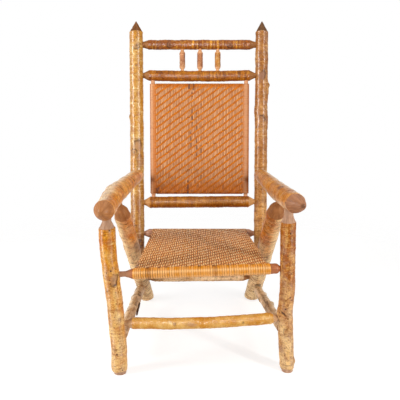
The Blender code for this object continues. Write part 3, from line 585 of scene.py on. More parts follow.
backPosts = {
    "both": {"trimStart": 0.075, "beginAt": 0.012, "bareEnd": True, "around": 72, "step": 0.002, "facets": 8,
             "whittle": 0.3},
    "left": {
        "node": "back_post_left", "seed": 11, "fade": (0.34, 0.64), "glossAt": ((-36, 30), (18, 22)),
        "glossBreak": 0.2,
        "knots": [
            knot(1.073, 10, 0.014, 0.0018, dark=0.8, scar=0.5, long=0.7, slant=-25),
            # painted shade: a dark patch where the post meets the rear leg
            knot(0.335, 30, 0.014, 0, dark=0.8, long=1.5),
            knot(0.705, 25, 0.026, 0.0022, long=1.6),
            knot(0.693, 16, 0.0145, 0.0018, dark=0.75, heart=0, scar=0.6, long=1.25, crown=0),
            knot(0.671, -18, 0.0105, 0.0025, dark=1, heart=0.6, scar=0.4, crown=0.5),
            knot(0.634, 34, 0.012, 0, dark=0.35, heart=0, scar=0.55, long=2.2),
            knot(0.806, -78, 0.008, 0.0035, dark=0.6, long=1.2)]},
    "right": {
        "node": "back_post_right", "seed": 23, "fade": (0.40, 0.70), "glossAt": ((-30, 24), (28, 24)),
        "glossAbove": (0.45, 0.75), "glossBreak": 0.55,
        "knots": [
            knot(0.9605, 0, 0.0115, 0.0022, dark=0.8, scar=1, heart=0, long=1.45, crown=1.2),
            knot(0.9290, 95, 0.009, 0.0070, dark=0.4),
            knot(0.9080, 92, 0.012, 0.0045, long=1.9),
            knot(0.8300, -85, 0.016, 0.0032, dark=0.1, long=1.6),
            knot(0.7960, 2, 0.0105, 0.0026, dark=0.9, scar=0.35, heart=0, crown=0.3),
            knot(0.7995, 12, 0.0050, 0, dark=0.9, rim=0),
            knot(0.7890, 80, 0.016, 0.0024, long=1.3)]},
    "leftTones": barkTones(
        gold=(214, 168, 90), deep=(194, 130, 30), low=(146, 88, 34), ring=(142, 79, 2), smoke=(172, 127, 97),
        pale=(248, 215, 145), bare=(132, 80, 32), bareDark=(90, 50, 18), ringAmount=0.45, smokeAmount=0.3,
        paleAmount=0.6, mottle=0.55, rough=0.4, varnish=0.92, index=1.7, polish=0.24, lean=(-0.22, 0.12)),
    "rightTones": barkTones(
        gold=(184, 125, 65), deep=(158, 94, 28), low=(210, 152, 84), ring=(118, 66, 21),
        smoke=(150, 106, 80), pale=(230, 184, 120), bare=(112, 77, 45), bareDark=(76, 47, 24),
        ringAmount=0.45, smokeAmount=0.5, paleAmount=0.5, mottle=0.55, rough=0.42, varnish=1, index=1.7,
        polish=0.26, lean=(-0.22, 0.12)),
}
growPair("backPost", "barkBack", backPosts)

backRails = {
    "every": {"bareStart": True, "bareEnd": True, "step": 0.0025, "around": 36},
    "crest": {
        "node": "crest_rail", "seed": 31, "glossAt": ((-2, 24),),
        "knots": [
            knot(-0.117, 0, 0.010, 0.0012, dark=1, scar=0.5, heart=0.8),
            knot(0.117, 0, 0.010, 0.0012, dark=1, scar=0.5, heart=0.8)]
            + [knot(x, -20, 0.022, 0, lit=0.85, long=0.2) for x in (-0.027, 0.043, 0.070, 0.144)]},
    "upper": {
        "node": "upper_back_rail", "seed": 37, "glossAt": ((-1, 26),),
        "knots": [
            knot(x, 10, 0.020, 0, dark=0.8, long=0.2) for x in (-0.005, 0.031, 0.070, 0.148)]},
    "lower": {"node": "lower_back_rail", "seed": 41, "glossAt": ((-16, 26),),
              # painted highlight: a paler band along the front, in the low tone
              "paintedLightAndShade": ((-16, 24, 0.75),)},
    "crestTones": barkTones(
        gold=(162, 88, 12), deep=(138, 68, 2), low=(232, 158, 44), ring=(104, 46, 2), smoke=(146, 98, 74),
        pale=(228, 168, 74), bare=(162, 109, 65), bareDark=(120, 73, 28), ringAmount=0.55, smokeAmount=0.3,
        paleAmount=0.6, streaks=0.15, rough=0.38, varnish=0.75, sheen=0.1, lean=(-0.58, 0.46)),
    "upperTones": barkTones(
        gold=(180, 105, 2), deep=(152, 79, 2), low=(180, 105, 2), ring=(96, 38, 2), smoke=(140, 92, 52),
        pale=(226, 162, 60), bare=(168, 115, 67), bareDark=(124, 75, 28), ringAmount=0.75, smokeAmount=0.25,
        paleAmount=0.5, streaks=0.15, rough=0.38, varnish=0.7, sheen=0.1, lean=(-0.58, 0.46)),
    "lowerTones": barkTones(
        gold=(172, 98, 2), deep=(144, 74, 2), low=(204, 138, 48), ring=(110, 52, 2), smoke=(156, 104, 52),
        pale=(226, 166, 72), bare=(214, 164, 106), bareDark=(172, 116, 62), ringAmount=0.5, smokeAmount=0.35,
        paleAmount=0.4, streaks=0.15, rough=0.42, varnish=0.85, sheen=0.1, lean=(-0.58, 0.46)),
}
for railName in ("crest", "upper", "lower"):
    railBark = barkFinish("bark" + railName.title() + "Rail", backRails[railName + "Tones"])
    growStick(railName + "Rail", dict(backRails["every"], **backRails[railName]), railBark)

spindles = {
    "names": ("left", "centre", "right"),
    "shape": {"bareStart": True, "bareEnd": True, "step": 0.002, "around": 26, "lumps": 0.0003,
              "bumps": 0.0002, "skin": 0.0002, "neck": (0.0205, 0.62),
              # painted shade: the darker low tone down both sides of each spindle
              "paintedLightAndShade": ((64, 28, 0.9), (-68, 26, 0.7))},
    "pinkTones": barkTones(
        gold=(196, 131, 85), deep=(172, 105, 60), low=(136, 74, 34), ring=(130, 73, 32),
        smoke=(160, 115, 94), pale=(238, 192, 141), bare=(226, 172, 126), bareDark=(186, 130, 84),
        ringAmount=0.4, smokeAmount=0.3, paleAmount=0.5, rough=0.42, varnish=0.3),
    "goldTones": barkTones(
        gold=(208, 144, 65), deep=(184, 111, 21), low=(150, 84, 20), ring=(140, 79, 10),
        smoke=(172, 127, 92), pale=(244, 205, 129), bare=(230, 176, 126), bareDark=(188, 132, 84),
        ringAmount=0.4, smokeAmount=0.3, paleAmount=0.5, rough=0.4, varnish=0.35),
}
pinkBark = barkFinish("barkSpindlePink", spindles["pinkTones"])
goldBark = barkFinish("barkSpindleGold", spindles["goldTones"])
for number, which in enumerate(spindles["names"]):
    growStick("spindle" + which.title(), dict(spindles["shape"], node="spindle_" + which, seed=43 + number),
              goldBark if which == "right" else pinkBark)

panelStiles = {
    "shape": {"peeled": True, "step": 0.002, "around": 24, "whittle": 0.2, "chips": 0.0002,
              "neck": (0.0245, 0.73)},
    "tones": painted(bare=(230, 174, 130), bareDark=(196, 132, 90), knot=(110, 66, 40), worn=(204, 136, 88)),
}
stileWood = bareFinish("peeledStile", panelStiles["tones"])
for number, which in enumerate(("left", "right")):
    stileLook = dict(panelStiles["shape"], node="panel_stile_" + which, seed=51 + number)
    growStick("panelStile" + which.title(), stileLook, stileWood)

frontPosts = {
    "both": {"trimStart": 0.004, "foot": 0, "bareEnd": True, "bareFoot": 0.012, "lumps": 0.0007, "facets": 9,
             "whittle": 0.5},
    "left": {
        "node": "front_post_left", "seed": 61, "around": 44, "fade": (0.05, 0.45),
        "glossAt": ((-36, 22), (18, 16)),
        "knots": [
            knot(0.343, 24, 0.0125, 0.001, dark=1, scar=0.7, long=1.2, slant=15, heart=0.4),
            knot(0.245, 12, 0.0035, 0.0004, dark=0.9),
            knot(0.095, -20, 0.0045, 0.0004, dark=0.8),
            knot(0.200, 30, 0.005, 0.0004, dark=0.6)]},
    "right": {
        "node": "front_post_right", "seed": 67, "around": 72, "step": 0.002, "fade": (0.05, 0.40),
        "glossAt": ((-22, 16), (38, 20)),
        "knots": [
            knot(0.2200, -23, 0.0060, -0.0010, dark=0.9, heart=1.8, rim=0, long=4.6, slant=-46),
            knot(0.149, -5, 0.007, 0.0006, dark=0.5, long=1.9, heart=0.3),
            knot(0.215, -85, 0.016, 0.004, dark=0.1),
            knot(0.040, 65, 0.010, 0.0045, dark=0.3)]},
    "leftTones": barkTones(
        gold=(214, 142, 20), deep=(194, 106, 2), low=(228, 188, 128), ring=(150, 84, 10),
        smoke=(176, 131, 97), pale=(250, 211, 127), bare=(192, 154, 126), bareDark=(144, 108, 82),
        ringAmount=0.4, smokeAmount=0.5, paleAmount=0.55, streaks=0.5, fleck=0.45, spots=1, rough=0.4,
        varnish=0.7, polish=0.3, lean=(0.14, 0.45)),
    "rightTones": barkTones(
        gold=(178, 104, 22), deep=(154, 76, 2), low=(228, 190, 138), ring=(122, 68, 18),
        smoke=(156, 115, 90), pale=(236, 188, 110), bare=(198, 158, 130), bareDark=(150, 112, 86),
        ringAmount=0.4, smokeAmount=0.7, paleAmount=0.3, streaks=0.45, fleck=0.5, spots=1, rough=0.42,
        varnish=0.45, polish=0.32, lean=(0.14, 0.45)),
}
growPair("frontPost", "barkFront", frontPosts)

rearLegs = {
    "both": {"trimStart": 0.07, "foot": 0.016, "bareEnd": True, "around": 44, "lumps": 0.0008, "facets": 10,
             "whittle": 0.15},
    "left": {
        # painted light: the side band lays the pale low tone on the outer front side
        "node": "rear_leg_left", "seed": 71, "fade": (0.24, 0.44), "paintedLightAndShade": ((-48, 44, 0.95),),
        "knots": [
            knot(0.31, 10, 0.010, 0.001, dark=0.5, long=1.8),
            knot(0.26, 40, 0.007, 0.001, dark=0.3, long=1.8),
            knot(0.345, 48, 0.012, 0, dark=0.6, scar=0.5, long=1.8),
            # a darker patch where the side stretcher enters the leg
            knot(0.100, 5, 0.010, 0.001, dark=0.3, long=1.6)]},
    "right": {
        # painted light on the outer front side, as on the left leg
        "node": "rear_leg_right", "seed": 73, "fade": (0.18, 0.42), "paintedLightAndShade": ((48, 42, 0.95),),
        "knots": [
            knot(0.29, 10, 0.009, 0.001, dark=0.8, long=1.6),
            # a darker patch where the side stretcher enters the leg
            knot(0.112, 5, 0.012, 0.001, dark=0.9, long=1.8)]},
    "tones": barkTones(
        gold=(216, 128, 12), deep=(188, 94, 2), low=(252, 218, 164), ring=(118, 64, 16),
        smoke=(178, 138, 104), pale=(248, 210, 144), bare=(172, 116, 70), bareDark=(134, 82, 46),
        ringAmount=0.55, smokeAmount=0.35, paleAmount=0.36, streaks=0.32, rough=0.45, varnish=0.2, sheen=1),
}
legBark = barkFinish("barkRearLeg", rearLegs["tones"])
for which in ("left", "right"):
    growStick("rearLeg" + which.title(), dict(rearLegs["both"], **rearLegs[which]), legBark)

arms = {
    "both": {"bareStart": True, "trimEnd": 0.06, "endAt": 0.004, "around": 48, "lumps": 0.0008, "facets": 14,
             "whittle": 0.06, "dome": 0.6},
    "left": {
        "node": "arm_left", "seed": 81, "pith": 0.005, "pithDark": 0.5,
        # painted light: the pale low tone on the upper outer side and low on the inner side
        "paintedLightAndShade": ((-24, 40, 1), (128, 22, 0.8)),
        "knots": [
            knot(-0.12, -55, 0.018, 0.004, dark=0.2),
            knot(-0.20, -60, 0.016, 0.003, dark=0.2),
            knot(0.035, 35, 0.018, 0.0004, dark=0.9, long=0.25),
            knot(0.005, 45, 0.016, 0.0004, dark=0.8, long=0.25),
            knot(-0.14, 40, 0.016, 0.0004, dark=0.8, long=0.3)]},
    "right": {
        "node": "arm_right", "seed": 83, "pith": 0.006, "pithDark": 0.9,
        # painted light: the pale low tone on the upper outer side and low on the inner side
        "paintedLightAndShade": ((36, 24, 1.2), (-126, 20, 0.6)),
        "knots": [
            knot(-0.212, -34, 0.009, 0.001, dark=0.9, scar=0.5, long=1.4, slant=40)]},
    "leftTones": barkTones(
        gold=(232, 150, 34), deep=(208, 118, 10), low=(250, 222, 180), ring=(138, 78, 26),
        smoke=(170, 128, 96), pale=(246, 204, 122), bare=(184, 122, 70), bareDark=(142, 86, 44),
        ringAmount=0.5, smokeAmount=0.35, paleAmount=0.4, rough=0.38, varnish=0.4, sheen=0.8, capGloss=0.7,
        lean=(-0.3, 0.3)),
    "rightTones": barkTones(
        gold=(214, 138, 46), deep=(186, 106, 16), low=(250, 226, 194), ring=(118, 68, 28),
        smoke=(160, 122, 98), pale=(232, 188, 116), bare=(174, 119, 82), bareDark=(134, 86, 56),
        ringAmount=0.5, smokeAmount=0.45, paleAmount=0.4, rough=0.4, varnish=0.4, sheen=0.8, capGloss=0.7,
        lean=(-0.3, 0.3)),
}
growPair("arm", "barkArm", arms)

stretchers = {
    "every": {"bareStart": True, "bareEnd": True},
    "front": {
        "node": "front_stretcher", "seed": 91, "barkPast": 0.009, "step": 0.0025, "around": 36,
        "glossAt": ((-27, 26),),
        "knots": [
            knot(0.143, 0, 0.003, -0.0006, dark=1),
            knot(-0.085, -20, 0.005, 0.0008, dark=0.7, scar=0.4),
            knot(-0.025, -5, 0.006, 0.0006, dark=0.2, scar=0.6, long=2.5)]},
    "rear": {"node": "rear_stretcher", "seed": 92, "around": 32},
    "left": {
        "node": "side_stretcher_left", "seed": 93, "around": 32, "lumps": 0.0008,
        # painted light: the pale low tone along the upper outer side
        "paintedLightAndShade": ((-45, 22, 0.9),),
        "knots": [
            knot(0.085, -60, 0.010, 0.003, dark=0.5),
            # a dark streak on the top next to the rear leg
            knot(0.12, 40, 0.007, 0, dark=0.9, long=4)]},
    "right": {
        "node": "side_stretcher_right", "seed": 94, "around": 32, "lumps": 0.0008,
        # painted light: the pale low tone along the upper outer side
        "paintedLightAndShade": ((45, 20, 0.8),),
        "knots": [
            knot(0.0, 40, 0.010, 0.006, dark=0.4),
            knot(0.13, 50, 0.007, 0.003, dark=0.4),
            # a long dark streak along the top from the rear leg
            knot(0.07, -20, 0.005, 0, dark=0.8, long=14)]},
    "frontTones": barkTones(
        gold=(214, 163, 84), deep=(196, 129, 28), low=(214, 163, 84), ring=(164, 96, 21),
        smoke=(182, 138, 101), pale=(252, 221, 154), bare=(204, 160, 118), bareDark=(164, 120, 80),
        ringAmount=0.12, smokeAmount=0.25, paleAmount=0.15, streaks=0.12, fleck=0.2, spots=0.25, rough=0.34,
        varnish=0.85, lean=(-0.58, 0.46)),
    "greyTones": barkTones(
        gold=(238, 200, 154), deep=(204, 156, 102), low=(255, 236, 206), ring=(120, 78, 28),
        smoke=(168, 132, 104), pale=(248, 218, 176), bare=(186, 135, 92), bareDark=(140, 94, 52),
        ringAmount=0.3, smokeAmount=0.45, paleAmount=0.3, streaks=0.55, rough=0.5, varnish=0.2, sheen=1,
        lean=(-0.3, 0.3)),
}
frontBark = barkFinish("barkFrontStretcher", stretchers["frontTones"])
greyBark = barkFinish("barkStretcher", stretchers["greyTones"])
for stretcherName, which, stretcherBark in (("frontStretcher", "front", frontBark),
                                            ("rearStretcher", "rear", greyBark),
                                            ("sideStretcherLeft", "left", greyBark),
                                            ("sideStretcherRight", "right", greyBark)):
    growStick(stretcherName, dict(stretchers["every"], **stretchers[which]), stretcherBark)

twig = {"from": Vector((-0.2355, 0.04, 0.108)), "to": Vector((-0.236, -0.045, 0.100)), "radius": 0.0052,
        "taper": 0.6, "rough": 0.0007, "seed": 5,
        "tones": (paint(112, 74, 40), paint(74, 46, 24), paint(170, 128, 84))}
reach = twig["to"] - twig["from"]
bpy.ops.object.select_all(action="DESELECT")
bpy.ops.mesh.primitive_cone_add(vertices=16, radius1=twig["radius"], radius2=twig["radius"] * twig["taper"],
                                depth=reach.length, location=(twig["from"] + twig["to"]) / 2,
                                rotation=reach.to_track_quat("Z", "Y").to_euler())
bpy.ops.object.transform_apply()
twigPiece = bpy.context.object
twigPiece.name = twigPiece.data.name = "brokenTwig"
bpy.ops.object.mode_set(mode="EDIT")
bpy.ops.mesh.select_all(action="SELECT")
bpy.ops.mesh.subdivide(number_cuts=5)
bpy.ops.transform.vertex_random(offset=twig["rough"], seed=twig["seed"])
bpy.ops.object.mode_set(mode="OBJECT")
bpy.ops.object.shade_smooth_by_angle(angle=math.radians(60))
twigFinish, tree, shader = newFinish("twigBark")
where = addNode(tree, "TexCoord").outputs["Object"]
colour = over(ramp(grain(where, (300, 60, 300), 3), 0.4, 0.6), *twig["tones"][:2])
colour = over(ramp(grain(where, (140, 90, 140), 3), 0.56, 0.68), colour, twig["tones"][2])
plug(shader, {"Base Color": colour, "Roughness": 0.7})
emboss(shader, grain(where, (400, 80, 400), 3), 0.5, 0.001)
twigPiece.data.materials.append(twigFinish)
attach(twigPiece, "root")
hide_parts("side_stretcher_left")

seatRungs = {
    "shape": {"peeled": True, "around": 36, "whittle": 0.3, "facets": 9, "chips": 0.0003},
    "tones": painted(bare=(184, 112, 68), bareDark=(146, 82, 46), knot=(58, 32, 18), worn=(176, 124, 90)),
    "rearTones": painted(bare=(190, 142, 112), bareDark=(148, 102, 76), knot=(58, 32, 18),
                         worn=(176, 124, 90)),
    "holes": (-0.188, -0.141, -0.116, -0.050, -0.004, 0.048, 0.093, 0.180),   # under the gaps in the cane
}
rungWood = bareFinish("peeledRung", seatRungs["tones"])
# painted shade in the gaps: dark marks on the front rung
gapShadeMarks = [knot(x, -112, 0.005, 0, dark=1) for x in seatRungs["holes"]]
growStick("seatFrontRung", dict(seatRungs["shape"], node="seat_front_rung", seed=101, fade=(-0.236, -0.222),
                                knots=gapShadeMarks), rungWood)
growStick("seatRearRung", dict(seatRungs["shape"], node="seat_rear_rung", seed=103),
          bareFinish("peeledRearRung", seatRungs["rearTones"]))
print("sticks grown")


# cane: every strand is a closed loop round two sticks

def axisOf(node):
    stick = readStick(node)
    return Vector(stick["line"][3]), Vector(stick["line"][-4]), float(np.median(stick["girth"]))


def corner(first, second):
    return np.array(intersect_line_line(first[0], first[1], second[0], second[1])[0])


strandShift = 7.3   # sets the grain of each strand apart


def laceCane(name, loops, thick, finish, node):
    spots, quads, lies, start = [], [], [], 0
    readings = {title: [] for title in ("strand", "shade", "golden", "rim", "worn")}
    for loop in loops:
        path, facing, half = loop["path"], loop["facing"], loop["half"][:, None]
        rise = thick * (1 - 0.65 * loop["golden"])[:, None]
        count = len(path)
        ahead = np.roll(path, -1, 0) - np.roll(path, 1, 0)
        across = np.cross(ahead, facing)
        across /= np.linalg.norm(across, axis=1)[:, None]
        edges = (path - across * half, path + facing * rise, path + across * half, path - facing * rise)
        spots.append(np.stack(edges, 1).reshape(-1, 3))
        here = np.arange(count)
        after = (here + 1) % count
        for c in range(4):
            d = (c + 1) % 4
            quads.append(start + np.stack((here * 4 + c, here * 4 + d, after * 4 + d, after * 4 + c), 1))
        lie = np.zeros((count, 4, 3))
        lie[:, :, 0] = half * np.array((-1, 0, 1, 0))
        lie[:, :, 1] = loop["number"] * strandShift
        lie[1:, :, 2] = np.cumsum(np.linalg.norm(np.diff(path, axis=0), axis=1))[:, None]
        lies.append(lie.reshape(-1, 3))
        readings["strand"].append(np.full(count * 4, loop["tint"]))
        for title in ("shade", "golden", "worn"):
            readings[title].append(np.repeat(loop[title], 4))
        # rim is 1 at a strand's edges, where painted shade is laid
        readings["rim"].append(((1 - loop["golden"])[:, None] * np.array((1, 0, 1, 1))).ravel())
        start += count * 4
    mesh = bpy.data.meshes.new(name)
    mesh.from_pydata(np.concatenate(spots), [], np.concatenate(quads))
    lie = mesh.attributes.new("lie", "FLOAT_VECTOR", "POINT")
    lie.data.foreach_set("vector", np.concatenate(lies).ravel())
    for title, values in readings.items():
        mesh.attributes.new(title, "FLOAT", "POINT").data.foreach_set("value", np.concatenate(values))
    mesh.shade_smooth()
    mesh.materials.append(finish)
    piece = bpy.data.objects.new(name, mesh)
    scene.collection.objects.link(piece)
    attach(piece, "root")
    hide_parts(node)
    print("cane", name, len(mesh.polygons) * 2, "triangles")


wrapSteps = 10   # points where a strand goes round a stick
firstWeft = 500   # strand numbers, warps from 0


def weave(panel, corners, radii):
    # corners on the sticks' axes: low left, low right, high left, high right
    rng = random.Random(panel["seed"])
    lowLeft, lowRight, highLeft, highRight = corners
    endRadius, sideRadius = radii
    wide = np.linalg.norm(lowRight - lowLeft + highRight - highLeft) / 2
    tall = np.linalg.norm(highLeft - lowLeft + highRight - lowRight) / 2
    normal = np.cross(lowRight - lowLeft, highLeft - lowLeft)
    normal /= np.linalg.norm(normal)
    gap, lift = panel["gap"], panel["lift"]
    sideOver, endOver = panel["sideRoll"] * sideRadius, panel["endRoll"] * endRadius
    warpPitch, weftPitch = (wide + 2 * sideOver) / panel["warps"], (tall + 2 * endOver) / panel["wefts"]
    warpAt = (np.arange(panel["warps"]) + 0.5) * warpPitch - sideOver
    weftAt = (np.arange(panel["wefts"]) + 0.5) * weftPitch - endOver
    step = np.arange(panel["warps"])[:, None] - np.arange(panel["wefts"])[None, :]
    weftTop = step % panel["period"] < panel["float"]

    def bed(a, b):
        u, v = unit(a / wide)[..., None], unit(b / tall)[..., None]
        spot = lowLeft * (1 - u) * (1 - v) + lowRight * u * (1 - v)
        spot = spot + highLeft * (1 - u) * v + highRight * u * v
        overWay = (lowRight - lowLeft) * (1 - v) + (highRight - highLeft) * v
        upWay = (highLeft - lowLeft) * (1 - u) + (highRight - lowRight) * u
        overWay = overWay / np.linalg.norm(overWay, axis=-1)[..., None]
        return spot, overWay, upWay / np.linalg.norm(upWay, axis=-1)[..., None]

    def past(x, limit, radius):   # angle rolled over the stick at either edge
        return np.where(x < 0, x, np.where(x > limit, x - limit, 0)) / radius

    def layer(a, b, lay, face):
        a, b, lay = np.broadcast_arrays(np.asarray(a, float), np.asarray(b, float), np.asarray(lay, float))
        spot, overWay, upWay = bed(a, b)
        turnA, turnB = past(a, wide, sideRadius), past(b, tall, endRadius)
        ease = unit(np.minimum(b, tall - b) / 0.022)
        sink = 1 - (1 - np.cos(turnA)) * ease * ease * (3 - 2 * ease)
        out = face * normal * (sink * np.cos(turnB))[..., None]
        out = out + overWay * np.sin(turnA)[..., None] + upWay * np.sin(turnB)[..., None]
        radius = np.where(turnB != 0, endRadius, sideRadius) + lift + lay
        return spot + out * radius[..., None], out / np.linalg.norm(out, axis=-1)[..., None]

    def wrap(a, b, begin, way, radius):
        # from the front layer round the stick to the rear one
        spot, overWay, upWay = bed(np.float64(a), np.float64(b))
        turnA, turnB = past(a, wide, sideRadius), past(b, tall, endRadius)
        swing = np.linspace(begin, math.pi - begin, wrapSteps)[:, None]
        if abs(way) == 1:
            heart, out = spot + overWay * math.sin(turnA) * sideRadius, upWay * way
        else:
            heart, out = spot + upWay * math.sin(turnB) * endRadius, overWay * way / 2
        facing = np.cos(swing) * normal + np.sin(swing) * out
        return heart + facing * (radius + lift + gap * 0.4), facing

    def strand(front, over, rear, back, here, there):
        # one closed loop; also where each point lies across the panel and how far it has gone round a stick
        path, facing = (np.concatenate((front[k], over[k], rear[k], back[k][::-1])) for k in (0, 1))
        beyond, before = np.full(wrapSteps, there + 0.01), np.full(wrapSteps, -0.01)
        at = np.concatenate((here, beyond, here[::-every], before))
        steps = np.arange(1, wrapSteps + 1)
        turned = np.concatenate((np.zeros(len(front[0])), steps, np.zeros(len(rear[0])), steps[::-1]))
        return path, facing, at, turned

    warps, wefts, every = [], [], panel["rearStep"]
    lowWide, highWide = np.linalg.norm(lowRight - lowLeft), np.linalg.norm(highRight - highLeft)
    for i, a in enumerate(warpAt):
        a = a + rng.uniform(-0.06, 0.06) * warpPitch
        lay = np.where(weftTop[i], -gap, gap)
        aside = np.full(len(weftAt), a)
        for hole in panel.get("holes", ()):   # strands part round the gaps at the front edge
            part = np.sign(a - hole) * 0.002 * math.exp(-((a - hole) / 0.005) ** 2)
            aside = aside + part * bell(weftAt, 0.006, 0.006)
        aside = aside + warpPitch * panel["wander"] * np.sin(2 * math.pi * weftAt / 0.085 + i * 0.3)
        front = layer(aside, weftAt, lay, 1)
        rear = layer(a, weftAt[::-every], lay[::-every], -1)
        high = wrap(a, tall, max(0, panel["endRoll"]), 1, endRadius)
        low = wrap(a, 0, max(0, panel["endRoll"]), -1, endRadius)
        path, facing, b, turned = strand(front, high, rear, low, weftAt, tall)
        width = lowWide * (1 - unit(b / tall)) + highWide * unit(b / tall)
        shade, golden, worn = panel["warpLook"](np.full(len(b), a / wide), b / tall, turned, rng)
        half = (panel["warpWidth"] + (0.5 - panel["warpWidth"]) * golden) * warpPitch * width / wide
        warps.append({"path": path, "facing": facing, "half": half, "number": i, "tint": rng.random(),
                      "shade": shade, "golden": golden, "worn": worn})
    for j, b in enumerate(weftAt):
        b = b + rng.uniform(-0.05, 0.05) * weftPitch
        lay = np.where(weftTop[:, j], gap, -gap)
        sway = np.sin(2 * math.pi * warpAt / 0.11 + j * 0.23)
        sway = sway + 0.7 * np.sin(2 * math.pi * warpAt / 0.047 + j * 0.31)
        front = layer(warpAt, b + weftPitch * panel["wander"] * sway * (0 < b) * (b < tall), lay, 1)
        rear = layer(warpAt[::-every], b, lay[::-every], -1)
        right = wrap(wide, b, max(0, panel["sideRoll"]), 2, sideRadius)
        left = wrap(0, b, max(0, panel["sideRoll"]), -2, sideRadius)
        path, facing, a, turned = strand(front, right, rear, left, warpAt, wide)
        shade, golden, worn = panel["weftLook"](a / wide, np.full(len(a), b / tall), turned, rng)
        half = np.full(len(a), panel["weftWidth"] * weftPitch)
        wefts.append({"path": path, "facing": facing, "half": half, "number": j + firstWeft,
                      "tint": rng.random(), "shade": shade, "golden": golden, "worn": worn})
    return warps, wefts


twill = {"warps": 59, "period": 6, "float": 2, "gap": 0.0005}


def lacePanel(name, panel):
    panel = dict(twill, **panel)
    left, right, low, high = (axisOf(node) for node in panel["sticks"])
    meets = [(side, end) for end in (low, high) for side in (left, right)]
    if panel["cornersOn"] == "ends":
        meets = [(end, side) for side, end in meets]
    warps, wefts = weave(panel, [corner(*pair) for pair in meets], (low[2], left[2]))
    for kind, strands in (("Warp", warps), ("Weft", wefts)):
        finish = caneFinish("cane" + name.title() + kind, panel[kind.lower() + "Tones"])
        laceCane(name + kind + "s", strands, panel["thick"], finish, name + "_weave")


def backMarks(u, v):
    # dark strands at the panel's ends; the one in the low left corner is painted shade in the gap beside the
    # stile
    marks = ((0.392, 0.012, 0.972, 2), (0.435, 0.010, 0.960, 2), (0.37, 0.012, -1, 0.035),
             (0.045, 0.014, -1, 0.03))
    return sum(0.85 * bell(u, middle, half) * (v > low) * (v < high) for middle, half, low, high in marks)


def backWarpLook(u, v, turned, rng):
    # darker strands near the middle, broken by the twill; the two at 0.052 are painted shade in the gap
    # beside the left stile
    stripes = ((0.052, 0.012, 0.02, 0.24), (0.052, 0.012, 0.93, 1.0), (0.375, 0.010, 0.02, 0.33),
               (0.40, 0.010, 0.33, 0.58), (0.42, 0.010, 0.62, 0.99), (0.465, 0.008, 0.30, 0.80),
               (0.51, 0.009, 0.10, 0.84))   # middle, half width, from, to
    shade = np.zeros(len(u))
    for middle, half, low, high in stripes:
        on = bell(u, middle, half) * (v > low) * (v < high)
        patchy = np.array([rng.uniform(-0.3, 1.2) for each in v[::4]]).repeat(4)[:len(v)]
        shade = shade + on * np.clip(patchy, 0, 0.85)
    speckle = np.array([rng.uniform(-0.6, 0.4) for each in v[::3]]).repeat(3)[:len(v)]
    shade = shade + backMarks(u, v) + unit(speckle) * unit((0.17 - v) / 0.1)
    ends = unit((0.11 - v) / 0.07) * 0.85 + unit((v - 0.978) / 0.015) * 0.95
    return np.clip(shade, 0, 0.85), np.zeros(len(u)), ends


def backWeftLook(u, v, turned, rng):
    wrapped = unit(np.maximum(-u, u - 1) * 200)
    right = u > 0.5
    band = 0.65 * bell(v, 0.11, 0.03) + 0.06 + 0.16 * right   # a dark band low on each stile
    low = unit((0.10 - v) / 0.06) * 0.25 + wrapped * band
    if rng.random() < 0.08:
        low = low + 0.5 * unit(1 - np.abs(u - rng.uniform(0.1, 0.9)) / 0.2)
    # painted shade on the outer side of each stile wrap
    low = low + 0.2 * wrapped * bell(turned, 4.5, 1.2)
    # painted highlight down each stile wrap, returned as the worn tone
    pale = np.where(right, 0.55 * bell(turned, 1, 1), 0.65 * bell(turned, 2.2, 0.9))
    return np.clip(low + backMarks(u, v), 0, 0.85), wrapped, pale * (turned > 0)


backPanel = {
    "sticks": ("panel_stile_left", "panel_stile_right", "panel_bottom_rung", "panel_top_rung"),
    "cornersOn": "sides", "seed": 7, "wefts": 100, "thick": 0.00045, "lift": 0.00105, "rearStep": 1,
    "wander": 0.13, "sideRoll": -1.12, "endRoll": 0.9, "warpWidth": 0.46, "weftWidth": 0.58,
    "warpLook": backWarpLook, "weftLook": backWeftLook,
    "warpTones": painted(light=(238, 181, 128), mid=(218, 157, 106), deep=(190, 122, 72),
                         golden=(214, 140, 60), rim=(138, 90, 70), rimAmount=0.9, dark=(96, 62, 52),
                         worn=(212, 118, 12)),
    # worn: the colour of the painted highlight down the stiles
    "weftTones": painted(light=(234, 136, 22), mid=(218, 118, 8), deep=(186, 86, 4), golden=(226, 152, 94),
                         rim=(132, 50, 4), rimAmount=0.95, dark=(120, 54, 4), worn=(250, 206, 166)),
}
lacePanel("back", backPanel)


def seatHoleShade(u):
    # painted shade of the gaps where the cane turns over the front rung
    spots = (0.062, 0.166, 0.226, 0.379, 0.483, 0.6, 0.715, 0.9)
    return sum(0.95 * bell(u, spot, 0.011) for spot in spots)


def seatWarpLook(u, v, turned, rng):
    red = 0.55 * bell(u, 0.08, 0.016) + 0.55 * bell(u, 0.605, 0.012)
    wrapped = unit((0.01 - v) / 0.012)
    edge = np.where(turned == 0, bell(v, 0.004, 0.012), (v < 0) * bell(turned, 1, 0.8))
    shade = np.clip(red * wrapped + seatHoleShade(u) * edge, 0, 0.95)
    # painted highlight across the front wrap, and painted floor light low on it
    worn = 0.65 * bell(turned, 4.1, 0.7) + 0.45 * bell(turned, 7.5, 1.2)
    return shade, wrapped * min(1, rng.uniform(0.7, 1.25)), wrapped * worn


def seatWeftLook(u, v, turned, rng):
    # painted highlight along the seat's side edges
    edge = 0.5 * bell(turned, 2, 1.2) * (turned > 0)
    return np.clip(seatHoleShade(u) * bell(v, 0.004, 0.012), 0, 0.95), np.zeros(len(u)), edge


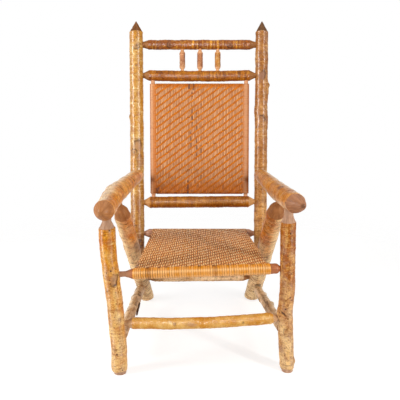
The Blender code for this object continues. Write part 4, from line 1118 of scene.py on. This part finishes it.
seatPanel = {
    "sticks": ("seat_side_rung_left", "seat_side_rung_right", "seat_front_rung", "seat_rear_rung"),
    "cornersOn": "ends", "seed": 9, "wefts": 93, "thick": 0.0004, "lift": 0.0009, "rearStep": 2,
    "wander": 0.15, "sideRoll": 1.15, "endRoll": -0.12, "warpWidth": 0.44, "weftWidth": 0.42,
    "holes": (0.015, 0.062, 0.087, 0.153, 0.199, 0.251, 0.296, 0.383),
    "warpLook": seatWarpLook, "weftLook": seatWeftLook,
    # worn: the colour of the painted highlight and painted floor light on the front wrap
    "warpTones": painted(light=(255, 208, 146), mid=(250, 192, 124), deep=(222, 152, 82),
                         golden=(218, 134, 2), rim=(110, 60, 30), rimAmount=0.65, dark=(96, 38, 18),
                         worn=(248, 204, 146)),
    # worn: the colour of the painted highlight on the side edges
    "weftTones": painted(light=(226, 128, 46), mid=(204, 110, 34), deep=(146, 76, 26), golden=(222, 152, 72),
                         rim=(84, 42, 18), rimAmount=0.8, dark=(70, 36, 20), worn=(252, 216, 160)),
}
lacePanel("seat", seatPanel)
print("cane laced")


# solids that stay: nails and the rungs inside the cane

def flatFinish(name, look):
    finish, tree, shader = newFinish(name)
    where = addNode(tree, "TexCoord").outputs["Object"]
    specks = grain(where, (look["scale"],) * 3, 4, look["rough"])
    plug(shader, {"Base Color": over(ramp(specks, *look["mix"]), *look["tones"]),
                  "Roughness": ramp(specks, *look["dull"]), "Metallic": look["metal"]})
    emboss(shader, specks, *look["bump"])
    return finish


keptSolids = {
    "nail": {"scale": 420, "rough": 0.65, "mix": (0.45, 0.65), "metal": 0.75, "bump": (0.3, 0.0004),
             "tones": (paint(74, 66, 60), paint(104, 62, 40)), "dull": (0.35, 0.65, 0.38, 0.7)},
    "rung": {"scale": 60, "rough": 0.6, "mix": (0.35, 0.68), "metal": 0, "bump": (0.25, 0.0006),
             "tones": (paint(186, 126, 84), paint(140, 84, 50)), "dull": (0.3, 0.7, 0.48, 0.65)},
    "rungs": ("panel_top_rung", "panel_bottom_rung", "seat_side_rung_left", "seat_side_rung_right"),
}
nailIron = flatFinish("nailIron", keptSolids["nail"])
rungInside = flatFinish("rungInside", keptSolids["rung"])
for node, solid in nodes.items():
    if node.startswith("nail"):
        solid.material_slots[0].material = nailIron
    elif node in keptSolids["rungs"]:
        solid.material_slots[0].material = rungInside
print("nails and inner rungs finished")
